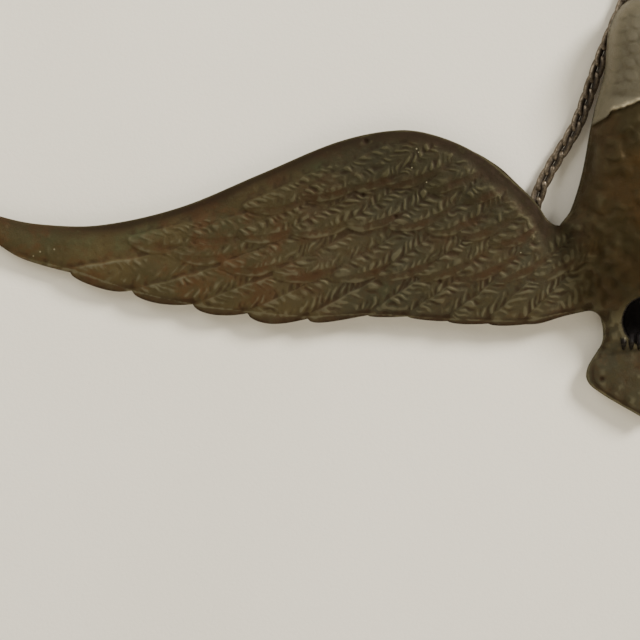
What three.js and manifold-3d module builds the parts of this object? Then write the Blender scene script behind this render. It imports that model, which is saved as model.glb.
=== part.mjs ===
// Wall eagle: a thin, hollow-backed cast eagle with spread wings, hung by a curb chain.
// Millimetres. X runs along the wings, the front faces -Y and +Z is up.
// The wall is the plane y = 0, and the origin is the point on it where the nail carries the chain.
// "Out" is the distance from the centre line, so that one description serves both wings.

import * as THREE from 'three';
import { mergeVertices } from 'three/addons/utils/BufferGeometryUtils.js';
import Module from 'manifold-3d';

const wasm = await Module();
wasm.setup();

// Wing plate: thickness, height of its rim above the wall, swell of its middle and the rolled leading edge
const HALF_SPAN = 315;
const SHEET = 3;
const ROOT_RIM = 10;
const TIP_RIM = 6;
const WING_SWELL = 5;
const EDGE_ROLL = 1.2;
const EDGE_ROLL_PLACE = 0.04;
const EDGE_ROLL_WIDTH = 0.035;

// Wing edges as [out, z]
const WING_TOP = [
  [20, -131], [40.2, -129.3], [45.1, -126.5], [50.2, -119.1], [58.6, -111.6], [76.7, -96.7],
  [95.3, -87.9], [114, -84.7], [141.9, -89.8], [179.1, -105.1], [216.3, -120.5],
  [253.5, -128.8], [281.4, -128.4], [300, -124.7], [HALF_SPAN, -118.6],
];
const WING_BOTTOM = [
  [20, -167], [39.5, -169.9], [54.9, -173], [91.6, -172.4], [128.8, -170], [156.7, -171.2],
  [184.7, -168.8], [210.2, -165.6], [238.6, -159.1], [267.4, -149.3], [290.7, -143.2],
  [300, -138.2], [308, -131.5], [HALF_SPAN, -121.2],
];
const WING_STATIONS = [20, 41, 47, 53, 62, 76, 95, 116, 142, 178, 214, 248, 276, 296, 309, HALF_SPAN];
const WING_CHORD = [0, 0.04, 0.09, 0.35, 0.7, 1];

// Angle of the feathers above the horizontal, against out
const FEATHER_ANGLE = [
  [40, 52], [60, 48], [90, 41], [128, 36], [160, 31], [190, 26], [240, 17], [270, 12], [HALF_SPAN, -12],
];

// Feather rows from the flight feathers up to the leading edge. Tips are [out, z].
const FEATHER_ROWS = [
  {
    length: 54, half: 6.8, lift: 1.3, lead: -20,
    tips: [
      [309, -125], [267.4, -149.6], [238.6, -159.4], [210.2, -165.8], [184.7, -169.2], [156.7, -171.4],
      [128.8, -170.2], [110.2, -170.4], [91.6, -171.8], [72.6, -172.4], [54.9, -172],
    ],
  },
  {
    length: 42, half: 5.8, lift: 1.2, lead: -14,
    tips: [
      [221.4, -142.5], [196.7, -149], [173, -153], [146.5, -153.6], [125.6, -153.4], [107, -153.4],
      [88.4, -154.4], [70.4, -155], [54.8, -155.4],
    ],
  },
  {
    length: 36, half: 5.6, lift: 1.2, lead: -10,
    tips: [
      [240.9, -137.5], [214, -135.2], [190.7, -134.6], [165.1, -133], [140.2, -130.6], [119.5, -131.2],
      [102.3, -133.5], [87.4, -136], [72.4, -140],
    ],
  },
  {
    length: 33, half: 5.6, lift: 1.1, lead: -4,
    tips: [
      [186, -122.8], [160.5, -117.4], [139.5, -113], [120.9, -112.2], [102.3, -114.6], [85.1, -119.4],
      [68.4, -127],
    ],
  },
];

// Every feather: where it bends, how blunt its tip is, how its section leans and crowns, how deep it sits
const KNEE_SHARE = 0.3;
const TIP_WIDTH = 0.3;
const TIP_WIDENING = 3.5;
const LOW_EDGE_SHARE = 0.45;
const CROWN_SHARE = 0.6;
const FEATHER_SINK = 2.2;
const ROOT_DIP = 1.9;
const FEATHER_STATIONS = [0, 0.2, 1];
const FEATHER_ACROSS = [-1, 0.1, 1];

// What keeps the wing feathers on the wing
const ROOM_SHARE = 0.4;
const EDGE_BAND = 2;
const BODY_LAP = 3;
const SHORTEST_FEATHER = 9;

// Body, from the neck down to the vent: [z, half width] and [z, front above the wall]
const BODY_HALF = [
  [-186, 20.5], [-178, 18.3], [-169, 22.3], [-163, 26.5], [-155, 31.5], [-142, 38], [-130, 39.6],
  [-122, 34.6], [-105, 29.3], [-81, 24.7], [-66, 20.4], [-57, 17.6],
];
const BODY_FRONT = [
  [-186, 13], [-178, 15.5], [-170, 20], [-162, 25], [-152, 29.5], [-140, 32], [-125, 32.5],
  [-105, 31], [-85, 28], [-70, 26], [-57, 24],
];
const BODY_TOP = -57;
const BODY_LOW = -186;
const BODY_RIM = 10;
const BODY_WALL = 4;
const CASTING_BACK = 6.5;

// Rows of body feathers: height of the tips at the middle, how much lower they are at the sides, and spread
const BODY_ROWS = [
  { z: -70.5, drop: 0.024, count: 8, width: 23.5, length: 13, half: 3.4, lift: 1.5 },
  { z: -98, drop: 0.008, count: 4, width: 20, length: 20, half: 5.6, lift: 1.2 },
  { z: -122, drop: 0.006, count: 5, width: 26, length: 22, half: 6.2, lift: 1.2 },
];

// Head, turned to the wing on +X: [z, edge] on each side and [z, front above the wall]
const HEAD_BACK_EDGE = [
  [-74, -22.6], [-66, -20.6], [-58, -18.6], [-48, -18], [-38, -16.8], [-30, -13.4], [-25, -8.6], [-21.9, -1],
];
const HEAD_FACE_EDGE = [
  [-74, 22.6], [-66, 19], [-59, 17], [-52, 19.6], [-44, 21.4], [-37, 20.4], [-30, 16.4], [-25, 10.8],
  [-21.9, 4],
];
const HEAD_FRONT = [[-74, 27], [-62, 28.5], [-52, 31.5], [-42, 33], [-32, 30], [-25, 23], [-21.9, 15]];
const HEAD_TOP = -21.9;
const HEAD_LOW = -74;
const HEAD_HOLLOW_TOP = -28;
const EYE = [9.5, -39];
const EYE_RADIUS = 2.6;
const EYE_SINK = 0.9;
const BROW = { tip: [17.5, -39.5], heading: 24, lead: -14, length: 17, half: 2.2, lift: 2.4 };

// Hooked beak as rings: centre x, centre z, half height and half thickness
const BEAK_DEPTH = 24;
const BEAK_SIDES = 6;
const BEAK_LEAN = 0.25;
const BEAK_RINGS = [
  [14, -44, 7.4, 7], [21, -44.4, 6.2, 5.6], [27, -45.4, 5, 4.4], [31, -47.6, 3.6, 3.2],
  [33.2, -51, 2, 1.8], [33.4, -55, 0.5, 0.5],
];

// Tail plate: [z, half width]
const TAIL_HALF = [
  [-219.1, 0.6], [-217.7, 2.4], [-212.5, 11.6], [-208.8, 17.8], [-204.4, 24.2], [-201.4, 26.6],
  [-198.1, 27.2], [-193.5, 25.8], [-184.4, 20.3], [-176, 17.6],
];
const TAIL_RIM = 8;
const TAIL_SWELL = 3;
const TAIL_FULL_SWELL = 12;
const TAIL_BEVEL = 0.9;
const TAIL_ACROSS = [-1, -0.84, 0, 0.84, 1];

// Oval hollow between the legs
const HOLLOW_Z = -173.5;
const HOLLOW_HALF_WIDTH = 10.2;
const HOLLOW_HALF_HEIGHT = 11.6;
const HOLLOW_FLOOR = 9;
const HOLLOW_WALL = 2.2;
const HOLLOW_SIDES = 20;

// Claws on each side of the hollow: x of each toe, then rings of [z, height above the wall, radius]
const CLAW_PLACES = [3, 6.6, 10.2];
const CLAW_RINGS = [[-179, 13, 1.7], [-183, 15.4, 1.8], [-187, 14.4, 1.3], [-189.6, 10.4, 0.5]];
const CLAW_SIDES = 4;
const CLAW_LEAN = 0.3;

// Lugs behind the wing roots, and the pad that keeps the tail off the wall
const LUG_OUT = 54.9;
const LUG_Z = -132.1;
const LUG_THICK = 2.4;
const LUG_HALF_HEIGHT = 4.6;
const LUG_DEPTH = 12.5;
const LUG_HOLE = 2.1;
const PAD_Z = -199;
const PAD_RADIUS = 4.5;
const ROUND_SIDES = 12;

// Chain
const CHAIN_Y = -3.6;
const LINKS_A_SIDE = 16;
const LINK_HALF_WIDTH = 2.45;
const LINK_WIRE = 1.6;
const LINK_TWIST = 50;
const END_TWIST = 90;
const LINK_SQUARENESS = 0.75;
const LINK_STEPS = 10;
const LINK_SIDES = 4;
const RING_WIRE = 1.5;
const RING_RADIUS = 3.75;
const RING_SIDES = 5;
const HANGING_RADIUS = 5;
const HANGING_Z = -(HANGING_RADIUS - LINK_WIRE / 2);
const PLAY = 0.4;

// How far the chain strays towards the body on its way up, as [share of the way, millimetres]
const CHAIN_STRAY = [[0, 0], [0.04, 0], [0.15, -2.2], [0.27, -0.6], [0.39, 1.9], [0.5, 1.2], [0.64, 0], [1, 0]];

const castMetal = { color: 0x54462c, roughness: 0.55, metalness: 0.75 };
const chainMetal = { color: 0x8d806a, roughness: 0.45, metalness: 0.85 };

// A smooth function through [position, value] pairs
function through(pairs) {
  const slopes = pairs.map((point, i) => {
    const before = pairs[Math.max(i - 1, 0)];
    const after = pairs[Math.min(i + 1, pairs.length - 1)];
    return (after[1] - before[1]) / (after[0] - before[0]);
  });
  return (position) => {
    const at = THREE.MathUtils.clamp(position, pairs[0][0], pairs.at(-1)[0]);
    const i = Math.min(pairs.findLastIndex((point) => point[0] <= at), pairs.length - 2);
    const width = pairs[i + 1][0] - pairs[i][0];
    const t = (at - pairs[i][0]) / width;
    const rise = (pairs[i + 1][1] - pairs[i][1]) * t * t * (3 - 2 * t);
    const bend = width * t * (1 - t) * ((1 - t) * slopes[i] - t * slopes[i + 1]);
    return pairs[i][1] + rise + bend;
  };
}

const wingTop = through(WING_TOP);
const wingBottom = through(WING_BOTTOM);
const featherAngle = through(FEATHER_ANGLE);
const bodyHalf = through(BODY_HALF);
const bodyFront = through(BODY_FRONT);
const headBackEdge = through(HEAD_BACK_EDGE);
const headFaceEdge = through(HEAD_FACE_EDGE);
const headFront = through(HEAD_FRONT);
const chainStray = through(CHAIN_STRAY);

// Height of the plain wing above the wall, before its feathers
function wingHeight(x, z) {
  const out = Math.abs(x);
  const top = wingTop(out);
  const chord = THREE.MathUtils.clamp((top - z) / (top - wingBottom(out)), 0, 1);
  const reach = THREE.MathUtils.clamp(out / HALF_SPAN, 0, 1);
  const rim = THREE.MathUtils.lerp(ROOT_RIM, TIP_RIM, reach);
  const swell = WING_SWELL * (1 - reach ** 3) * Math.sqrt(4 * chord * (1 - chord));
  const roll = EDGE_ROLL * Math.exp(-(((chord - EDGE_ROLL_PLACE) / EDGE_ROLL_WIDTH) ** 2));
  return rim + swell + roll;
}

// Height of a dome over its rim, between two side edges
function domeHeight(x, left, right, front) {
  const side = Math.min(Math.abs(2 * x - left - right) / (right - left), 1);
  return BODY_RIM + (front - BODY_RIM) * Math.sqrt(1 - side * side);
}

const bodyHeight = (x, z) => domeHeight(x, -bodyHalf(z), bodyHalf(z), bodyFront(z));
const headHeight = (x, z) => domeHeight(x, headBackEdge(z), headFaceEdge(z), headFront(z));
const bodySurface = (x, z) => Math.max(bodyHeight(x, z), z > HEAD_LOW ? headHeight(x, z) : 0);

// Turns positions and triangles into a solid, whichever way round they are listed
function solidFrom(positions, triangles) {
  const corner = (i) => new THREE.Vector3(...positions[i]);
  const volume = triangles.reduce((sum, [a, b, c]) => sum + corner(a).dot(corner(b).cross(corner(c))), 0);
  const outward = volume > 0 ? triangles : triangles.map(([a, b, c]) => [a, c, b]);
  const mesh = new wasm.Mesh({
    numProp: 3,
    vertProperties: new Float32Array(positions.flat()),
    triVerts: new Uint32Array(outward.flat()),
  });
  return new wasm.Manifold(mesh);
}

// A closed sheet between a grid of front points and a grid of back points
function sheet(rows, columns, front, back) {
  const positions = [];
  for (const face of [front, back]) {
    for (let i = 0; i < rows; i += 1) {
      for (let j = 0; j < columns; j += 1) positions.push(face(i, j));
    }
  }
  const size = rows * columns;
  const triangles = [];
  const quad = (a, b, c, d) => triangles.push([a, b, c], [a, c, d]);
  for (let i = 0; i + 1 < rows; i += 1) {
    for (let j = 0; j + 1 < columns; j += 1) {
      const a = i * columns + j;
      quad(a, a + 1, a + columns + 1, a + columns);
      quad(size + a, size + a + columns, size + a + columns + 1, size + a + 1);
    }
  }
  const last = columns - 1;
  for (let i = 0; i + 1 < rows; i += 1) {
    const low = i * columns;
    const high = low + columns;
    quad(low, high, size + high, size + low);
    quad(high + last, low + last, size + low + last, size + high + last);
  }
  const end = (rows - 1) * columns;
  for (let j = 0; j < last; j += 1) {
    quad(j + 1, j, size + j, size + j + 1);
    quad(end + j, end + j + 1, size + end + j + 1, size + end + j);
  }
  return solidFrom(positions, triangles);
}

// Rings of points joined into one closed solid
function loft(rings) {
  const count = rings[0].length;
  const triangles = [];
  for (let i = 0; i + 1 < rings.length; i += 1) {
    for (let j = 0; j < count; j += 1) {
      const next = (j + 1) % count;
      const a = i * count;
      const b = a + count;
      triangles.push([a + j, a + next, b + next], [a + j, b + next, b + j]);
    }
  }
  const end = (rings.length - 1) * count;
  for (let j = 1; j + 1 < count; j += 1) triangles.push([0, j + 1, j], [end, end + j, end + j + 1]);
  return solidFrom(rings.flat(), triangles);
}

// A closed solid from a three.js geometry
function solidOf(geometry) {
  const plain = geometry.clone();
  plain.deleteAttribute('normal');
  plain.deleteAttribute('uv');
  const merged = mergeVertices(plain, 1e-4);
  const positions = [];
  for (let i = 0; i < merged.attributes.position.count; i += 1) {
    positions.push(new THREE.Vector3().fromBufferAttribute(merged.attributes.position, i).toArray());
  }
  const triangles = [];
  for (let i = 0; i < merged.index.count; i += 3) {
    const corners = [0, 1, 2].map((step) => merged.index.getX(i + step));
    if (new Set(corners).size === 3) triangles.push(corners);
  }
  return solidFrom(positions, triangles);
}

function geometryOf(solid) {
  const mesh = solid.getMesh();
  const geometry = new THREE.BufferGeometry();
  geometry.setAttribute('position', new THREE.BufferAttribute(new Float32Array(mesh.vertProperties), 3));
  geometry.setIndex(new THREE.BufferAttribute(new Uint32Array(mesh.triVerts), 1));
  return geometry;
}

const join = (solids) => solids.reduce((whole, solid) => whole.add(solid));

// The angles of the corners of a ring with so many sides
const turns = (sides) => Array.from({ length: sides }, (_, i) => (i / sides) * 2 * Math.PI);

// The plain wing, from inside the body out to the tip
function wing(side) {
  const at = (i, j, depth) => {
    const out = WING_STATIONS[i];
    const z = THREE.MathUtils.lerp(wingTop(out), wingBottom(out), WING_CHORD[j]);
    return [side * out, depth - wingHeight(out, z), z];
  };
  return sheet(WING_STATIONS.length, WING_CHORD.length, (i, j) => at(i, j, 0), (i, j) => at(i, j, SHEET));
}

// A step of so many millimetres along a heading, which is in degrees above the way to the centre line
function stride(heading, reach) {
  const angle = THREE.MathUtils.degToRad(heading);
  return new THREE.Vector2(-Math.cos(angle), Math.sin(angle)).multiplyScalar(reach);
}

// One overlapping feather on a surface: round tip, crowned across, its lower edge standing proud
function feather(form, surface) {
  const { tip, heading, length, half, lift, lead = 0, side = 1, room = () => half } = form;
  const start = new THREE.Vector2(...tip);
  const knee = start.clone().add(stride(heading + lead, length * KNEE_SHARE));
  const root = knee.clone().add(stride(heading, length * (1 - KNEE_SHARE)));
  const axis = new THREE.QuadraticBezierCurve(start, knee, root);
  const at = (i, j, isBack) => {
    const t = FEATHER_STATIONS[i];
    const low = -FEATHER_ACROSS[j];
    const centre = axis.getPoint(t);
    const forward = axis.getTangent(t);
    const offset = low * Math.min(half, room(centre.x)) * Math.min(1, TIP_WIDTH + TIP_WIDENING * t);
    const x = side * (centre.x - forward.y * offset);
    const z = centre.y + forward.x * offset;
    const tilt = lift * (1 - t) * (1 - LOW_EDGE_SHARE * (1 - low));
    const crown = CROWN_SHARE * lift * (1 - low * low);
    const proud = isBack ? -FEATHER_SINK : tilt + crown - ROOT_DIP * t;
    return [x, -surface(x, z) - proud, z];
  };
  const rows = FEATHER_STATIONS.length;
  return sheet(rows, FEATHER_ACROSS.length, (i, j) => at(i, j, false), (i, j) => at(i, j, true));
}

// How long a feather can be, up to its row's length, and still end below the leading edge and off the body
function fittingLength(tip, heading, { length, half }) {
  const rise = half * Math.cos(THREE.MathUtils.degToRad(heading));
  let reach = length;
  while (reach > SHORTEST_FEATHER) {
    const root = new THREE.Vector2(...tip).add(stride(heading, reach));
    const isUnderEdge = root.y + rise + EDGE_BAND < wingTop(root.x);
    if (isUnderEdge && root.x > bodyHalf(root.y) - BODY_LAP) break;
    reach -= 1;
  }
  return reach;
}

function wingFeathers(side) {
  const room = (out) => ROOM_SHARE * (wingTop(out) - wingBottom(out));
  return FEATHER_ROWS.flatMap(({ tips, ...row }) => tips.map((tip) => {
    const heading = featherAngle(tip[0]);
    const length = fittingLength(tip, heading, row);
    return feather({ ...row, tip, heading, length, side, room }, wingHeight);
  }));
}

// Pointed feathers on the breast, and the collar where the head plumage ends
function bodyFeathers() {
  return BODY_ROWS.flatMap(({ z, drop, count, width, ...row }) => (
    Array.from({ length: count }, (_, i) => {
      const x = width * ((2 * i + 1) / count - 1);
      const side = x < 0 ? -1 : 1;
      return feather({ ...row, tip: [Math.abs(x), z - drop * x * x], heading: 90, side }, bodySurface);
    })
  ));
}

// A dome between two side edges with a flat back, drawn in all round by the inset
function dome({ low, top, steps, columns, left, right, front, rim, back, inset = 0 }) {
  const at = (i, j, isBack) => {
    const z = THREE.MathUtils.lerp(low, top, Math.sin((Math.PI / 2) * (i / (steps - 1))));
    const middle = (left(z) + right(z)) / 2;
    const half = (right(z) - left(z)) / 2 - inset;
    const angle = Math.PI * (1 - j / (columns - 1));
    const height = rim + (front(z) - inset - rim) * Math.sin(angle);
    return [middle + half * Math.cos(angle), isBack ? -back : -height, z];
  };
  return sheet(steps, columns, (i, j) => at(i, j, false), (i, j) => at(i, j, true));
}

const bodyForm = {
  low: BODY_LOW,
  top: BODY_TOP,
  steps: 11,
  columns: 7,
  left: (z) => -bodyHalf(z),
  right: bodyHalf,
  front: bodyFront,
  rim: BODY_RIM,
  back: CASTING_BACK,
};
const headForm = {
  ...bodyForm,
  low: HEAD_LOW,
  top: HEAD_TOP,
  steps: 8,
  left: headBackEdge,
  right: headFaceEdge,
  front: headFront,
};

// The hollow behind a dome starts at the wall, and the hollows of the body and the head run together
const hollowForm = { rim: BODY_RIM - 1, back: 0, inset: BODY_WALL, columns: 5 };
const bodyHollow = { ...bodyForm, ...hollowForm, low: BODY_LOW + BODY_WALL, steps: 6 };
const headHollow = { ...headForm, ...hollowForm, top: HEAD_HOLLOW_TOP, steps: 4 };

function beak() {
  const ring = ([x, z, high, thick]) => turns(BEAK_SIDES).map((angle) => [
    x + BEAK_LEAN * high * Math.cos(angle),
    -BEAK_DEPTH + thick * Math.sin(angle),
    z + high * Math.cos(angle),
  ]);
  return loft(BEAK_RINGS.map(ring));
}

function eyeAndBrow() {
  const eye = new THREE.IcosahedronGeometry(EYE_RADIUS, 1);
  eye.translate(EYE[0], EYE_SINK - headHeight(...EYE), EYE[1]);
  return [solidOf(eye), feather(BROW, headHeight)];
}

// Toes that curl over the lower rim of the hollow
function claws(side) {
  const ring = (x, [z, height, radius]) => turns(CLAW_SIDES).map((angle) => [
    side * (x + radius * Math.cos(angle)),
    -height + radius * Math.sin(angle),
    z + CLAW_LEAN * radius * Math.sin(angle),
  ]);
  return CLAW_PLACES.map((x) => loft(CLAW_RINGS.map((section) => ring(x, section))));
}

function tail() {
  const at = (i, j, depth) => {
    const [z, half] = TAIL_HALF[i];
    const across = TAIL_ACROSS[j];
    const swell = TAIL_SWELL * (1 - across * across) * Math.min(1, half / TAIL_FULL_SWELL);
    const bevel = Math.abs(across) === 1 ? TAIL_BEVEL : 0;
    return [across * half, depth + bevel - TAIL_RIM - swell, z];
  };
  return sheet(TAIL_HALF.length, TAIL_ACROSS.length, (i, j) => at(i, j, 0), (i, j) => at(i, j, SHEET));
}

// An upright oval along Y, from one depth to another in front of the wall
function oval(halfWidth, halfHeight, z, near, far, sides) {
  const geometry = new THREE.CylinderGeometry(1, 1, far - near, sides);
  geometry.scale(halfWidth, 1, halfHeight);
  geometry.translate(0, -(near + far) / 2, z);
  return solidOf(geometry);
}

function hollowOval(wall, near) {
  const far = Math.max(...BODY_FRONT.map(([, front]) => front)) + SHEET;
  return oval(HOLLOW_HALF_WIDTH + wall, HOLLOW_HALF_HEIGHT + wall, HOLLOW_Z, near, far, HOLLOW_SIDES);
}

function lug(side) {
  const block = new THREE.BoxGeometry(LUG_THICK, LUG_DEPTH, 2 * LUG_HALF_HEIGHT);
  block.translate(side * LUG_OUT, -LUG_DEPTH / 2, LUG_Z);
  const hole = new THREE.CylinderGeometry(LUG_HOLE, LUG_HOLE, 3 * LUG_THICK, ROUND_SIDES);
  hole.rotateZ(Math.PI / 2);
  hole.translate(side * LUG_OUT, CHAIN_Y, LUG_Z);
  return solidOf(block).subtract(solidOf(hole));
}

function eagle() {
  const bodySolid = dome(bodyForm);
  const front = join([
    wing(-1), wing(1), bodySolid, dome(headForm), tail(), beak(),
    ...wingFeathers(-1), ...wingFeathers(1), ...bodyFeathers(), ...eyeAndBrow(),
  ]);
  const hollowed = front.subtract(dome(bodyHollow)).subtract(dome(headHollow));
  const cup = hollowOval(HOLLOW_WALL, CASTING_BACK).intersect(bodySolid);
  const solid = join([
    hollowed.add(cup).subtract(hollowOval(0, HOLLOW_FLOOR)),
    ...claws(-1), ...claws(1), lug(-1), lug(1),
    oval(PAD_RADIUS, PAD_RADIUS, PAD_Z, 0, TAIL_RIM, ROUND_SIDES),
  ]);
  return new THREE.Mesh(geometryOf(solid), new THREE.MeshStandardMaterial(castMetal));
}

// One link of curb chain: a long loop, twisted so that its ends stand across each other
class LinkCurve extends THREE.Curve {
  constructor(halfLength, lowTwist, highTwist) {
    super();
    this.halfLength = halfLength;
    this.lowTwist = lowTwist;
    this.highTwist = highTwist;
  }

  getPoint(t, target = new THREE.Vector3()) {
    const angle = 2 * Math.PI * t;
    const squared = (value) => Math.sign(value) * Math.abs(value) ** LINK_SQUARENESS;
    const share = (1 + Math.cos(angle)) / 2;
    const twist = THREE.MathUtils.degToRad(THREE.MathUtils.lerp(this.lowTwist, this.highTwist, share));
    const across = LINK_HALF_WIDTH * squared(Math.sin(angle));
    const along = this.halfLength * squared(Math.cos(angle));
    return target.set(across * Math.cos(twist), -across * Math.sin(twist), along);
  }
}

function flatRing(name, radius, wire, x, z) {
  const geometry = new THREE.TorusGeometry(radius, wire / 2, RING_SIDES, ROUND_SIDES);
  const mesh = new THREE.Mesh(geometry, new THREE.MeshStandardMaterial(chainMetal));
  mesh.name = name;
  mesh.position.set(x, CHAIN_Y, z);
  mesh.rotation.x = Math.PI / 2;
  return mesh;
}

// One side of the chain: a jump ring through the lug, then links up to the hanging ring
function chain(name, side) {
  const lugPoint = new THREE.Vector3(side * LUG_OUT, CHAIN_Y, LUG_Z);
  const line = new THREE.Vector3(0, CHAIN_Y, HANGING_Z).sub(lugPoint);
  const direction = line.clone().normalize();
  const first = 2 * RING_RADIUS - (RING_WIRE + LINK_WIRE) / 2 - PLAY;
  const last = line.length() - (HANGING_RADIUS - LINK_WIRE - PLAY);
  const overlap = LINK_WIRE + PLAY;
  const halfLength = (last - first + (LINKS_A_SIDE - 1) * overlap) / (2 * LINKS_A_SIDE);
  const pitch = 2 * halfLength - overlap;
  const inward = new THREE.Vector3(direction.z, 0, -direction.x).multiplyScalar(-side);
  const joint = (i) => {
    const reach = first + overlap / 2 + i * pitch;
    const stray = chainStray(reach / line.length());
    return lugPoint.clone().addScaledVector(direction, reach).addScaledVector(inward, stray);
  };
  const group = new THREE.Group();
  const ringPlace = lugPoint.clone().addScaledVector(direction, RING_RADIUS);
  group.add(flatRing(`ring_${name}`, RING_RADIUS, RING_WIRE, ringPlace.x, ringPlace.z));
  for (let i = 0; i < LINKS_A_SIDE; i += 1) {
    const lowTwist = i === 0 ? -END_TWIST : -LINK_TWIST;
    const highTwist = i === LINKS_A_SIDE - 1 ? END_TWIST : LINK_TWIST;
    const curve = new LinkCurve(halfLength, lowTwist, highTwist);
    const geometry = new THREE.TubeGeometry(curve, LINK_STEPS, LINK_WIRE / 2, LINK_SIDES, true);
    const mesh = new THREE.Mesh(geometry, new THREE.MeshStandardMaterial(chainMetal));
    mesh.name = `link_${name}_${String(i + 1).padStart(2, '0')}`;
    const low = joint(i);
    const high = joint(i + 1);
    mesh.position.lerpVectors(low, high, 0.5);
    mesh.rotation.y = Math.atan2(high.x - low.x, high.z - low.z);
    group.add(mesh);
  }
  return group;
}

const wallEagle = new THREE.Group();
const casting = eagle();
casting.name = 'eagle';
wallEagle.add(
  casting,
  chain('left', -1),
  chain('right', 1),
  flatRing('hanging_ring', HANGING_RADIUS, LINK_WIRE, 0, HANGING_Z),
);

export default wallEagle;
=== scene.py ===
"""Wall eagle: a hollow-backed casting in relief, with its patina, and the curb chain that it hangs by.

The front of the casting is a relief: a height above the wall for each point of a fine grid, in
millimetres. It starts from the form of the part's source, with a wider hollow, finer claws and a
flatter leading edge, and carries the finer forms of the photo on top. It is cut out along its
outline, closed with its hollow back, joined with the beak, claws and lugs, and thinned.
"""
import functools
import math

import bpy
import numpy as np
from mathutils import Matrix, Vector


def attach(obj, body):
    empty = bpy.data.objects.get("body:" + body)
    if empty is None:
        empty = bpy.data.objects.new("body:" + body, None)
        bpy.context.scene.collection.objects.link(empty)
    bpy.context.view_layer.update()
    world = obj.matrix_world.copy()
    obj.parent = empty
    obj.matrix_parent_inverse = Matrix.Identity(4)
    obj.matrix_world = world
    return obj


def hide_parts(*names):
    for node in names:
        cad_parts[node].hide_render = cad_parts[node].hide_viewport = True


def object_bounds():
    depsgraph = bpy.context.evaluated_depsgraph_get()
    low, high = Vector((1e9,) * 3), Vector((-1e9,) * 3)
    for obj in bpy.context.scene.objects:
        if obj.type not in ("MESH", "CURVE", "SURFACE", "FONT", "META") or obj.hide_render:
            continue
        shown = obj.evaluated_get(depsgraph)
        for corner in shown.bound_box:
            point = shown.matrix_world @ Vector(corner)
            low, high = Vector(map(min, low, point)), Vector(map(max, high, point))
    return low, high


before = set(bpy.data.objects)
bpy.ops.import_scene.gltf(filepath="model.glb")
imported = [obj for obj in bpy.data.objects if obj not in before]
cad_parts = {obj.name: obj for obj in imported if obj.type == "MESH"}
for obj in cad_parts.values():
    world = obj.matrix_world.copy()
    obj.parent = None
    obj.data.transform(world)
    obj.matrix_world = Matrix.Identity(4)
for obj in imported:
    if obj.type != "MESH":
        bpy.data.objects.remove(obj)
cad_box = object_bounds()

MM = 0.001
GRID_STEP = 0.5
EAGLE_TRIANGLES = 190_000
FAR_BELOW = -99.0
GRID_MARGIN = 2
GRID_LOW = -221


def through(pairs):
    """A smooth function through (position, value) pairs, the same as the source's."""
    places, values = np.array(pairs, dtype=float).T
    before = np.maximum(np.arange(len(places)) - 1, 0)
    after = np.minimum(np.arange(len(places)) + 1, len(places) - 1)
    slopes = (values[after] - values[before]) / (places[after] - places[before])

    def curve(position):
        at = np.clip(position, places[0], places[-1])
        i = np.clip(np.searchsorted(places, at, side="right") - 1, 0, len(places) - 2)
        width = places[i + 1] - places[i]
        t = (at - places[i]) / width
        rise = (values[i + 1] - values[i]) * t * t * (3 - 2 * t)
        return values[i] + rise + width * t * (1 - t) * ((1 - t) * slopes[i] - t * slopes[i + 1])

    return curve


# Wing plate
HALF_SPAN = 315
WING_INNER = 20
SHEET = 3
ROOT_RIM = 10
TIP_RIM = 6
WING_SWELL = 5
EDGE_ROLL = 0.1
EDGE_ROLL_PLACE = 0.04
EDGE_ROLL_WIDTH = 0.035
wing_top = through([
    (20, -131), (40.2, -129.3), (45.1, -126.5), (50.2, -119.1), (58.6, -111.6), (76.7, -96.7),
    (95.3, -87.9), (114, -84.7), (141.9, -89.8), (179.1, -105.1), (216.3, -120.5),
    (253.5, -128.8), (281.4, -128.4), (300, -124.7), (HALF_SPAN, -118.6),
])
wing_bottom = through([
    (20, -167), (39.5, -169.9), (54.9, -173), (91.6, -172.4), (128.8, -170), (156.7, -171.2),
    (184.7, -168.8), (210.2, -165.6), (238.6, -159.1), (267.4, -149.3), (290.7, -143.2),
    (300, -138.2), (308, -131.5), (HALF_SPAN, -121.2),
])
feather_angle = through([
    (40, 52), (60, 48), (90, 41), (128, 36), (160, 31), (190, 26), (240, 17), (270, 12), (HALF_SPAN, -12),
])

# Feather rows from the flight feathers up to the leading edge, with their tips as (out, z)
FEATHER_ROWS = [
    dict(
        length=74, half=7.4, lift=0.8, lead=-6, below=0.85, proud=-1, is_flight=True,
        tips=[
            (309, -125), (267.4, -149.6), (238.6, -159.4), (210.2, -165.8), (184.7, -169.2), (156.7, -171.4),
            (128.8, -170.2), (110.2, -170.4), (91.6, -171.8), (72.6, -172.4), (54.9, -172),
        ],
    ),
    dict(
        length=64, half=6.6, lift=0.9, lead=-8, below=0.5,
        tips=[
            (221.4, -142.5), (196.7, -149), (173, -153), (146.5, -153.6), (125.6, -153.4), (107, -153.4),
            (88.4, -154.4), (70.4, -155), (54.8, -155.4),
        ],
    ),
    dict(
        length=62, half=6.4, lift=0.9, lead=-8, below=0.4,
        tips=[
            (240.9, -137.5), (214, -135.2), (190.7, -134.6), (165.1, -133), (140.2, -130.6), (119.5, -131.2),
            (102.3, -133.5), (87.4, -136), (72.4, -140),
        ],
    ),
    dict(
        length=60, half=6.4, lift=0.8, lead=-4, below=0.3,
        tips=[
            (186, -122.8), (160.5, -117.4), (139.5, -113), (120.9, -112.2), (102.3, -114.6), (85.1, -119.4),
            (68.4, -127),
        ],
    ),
]
KNEE_SHARE = 0.3
ROOM_SHARE = 0.4

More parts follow.
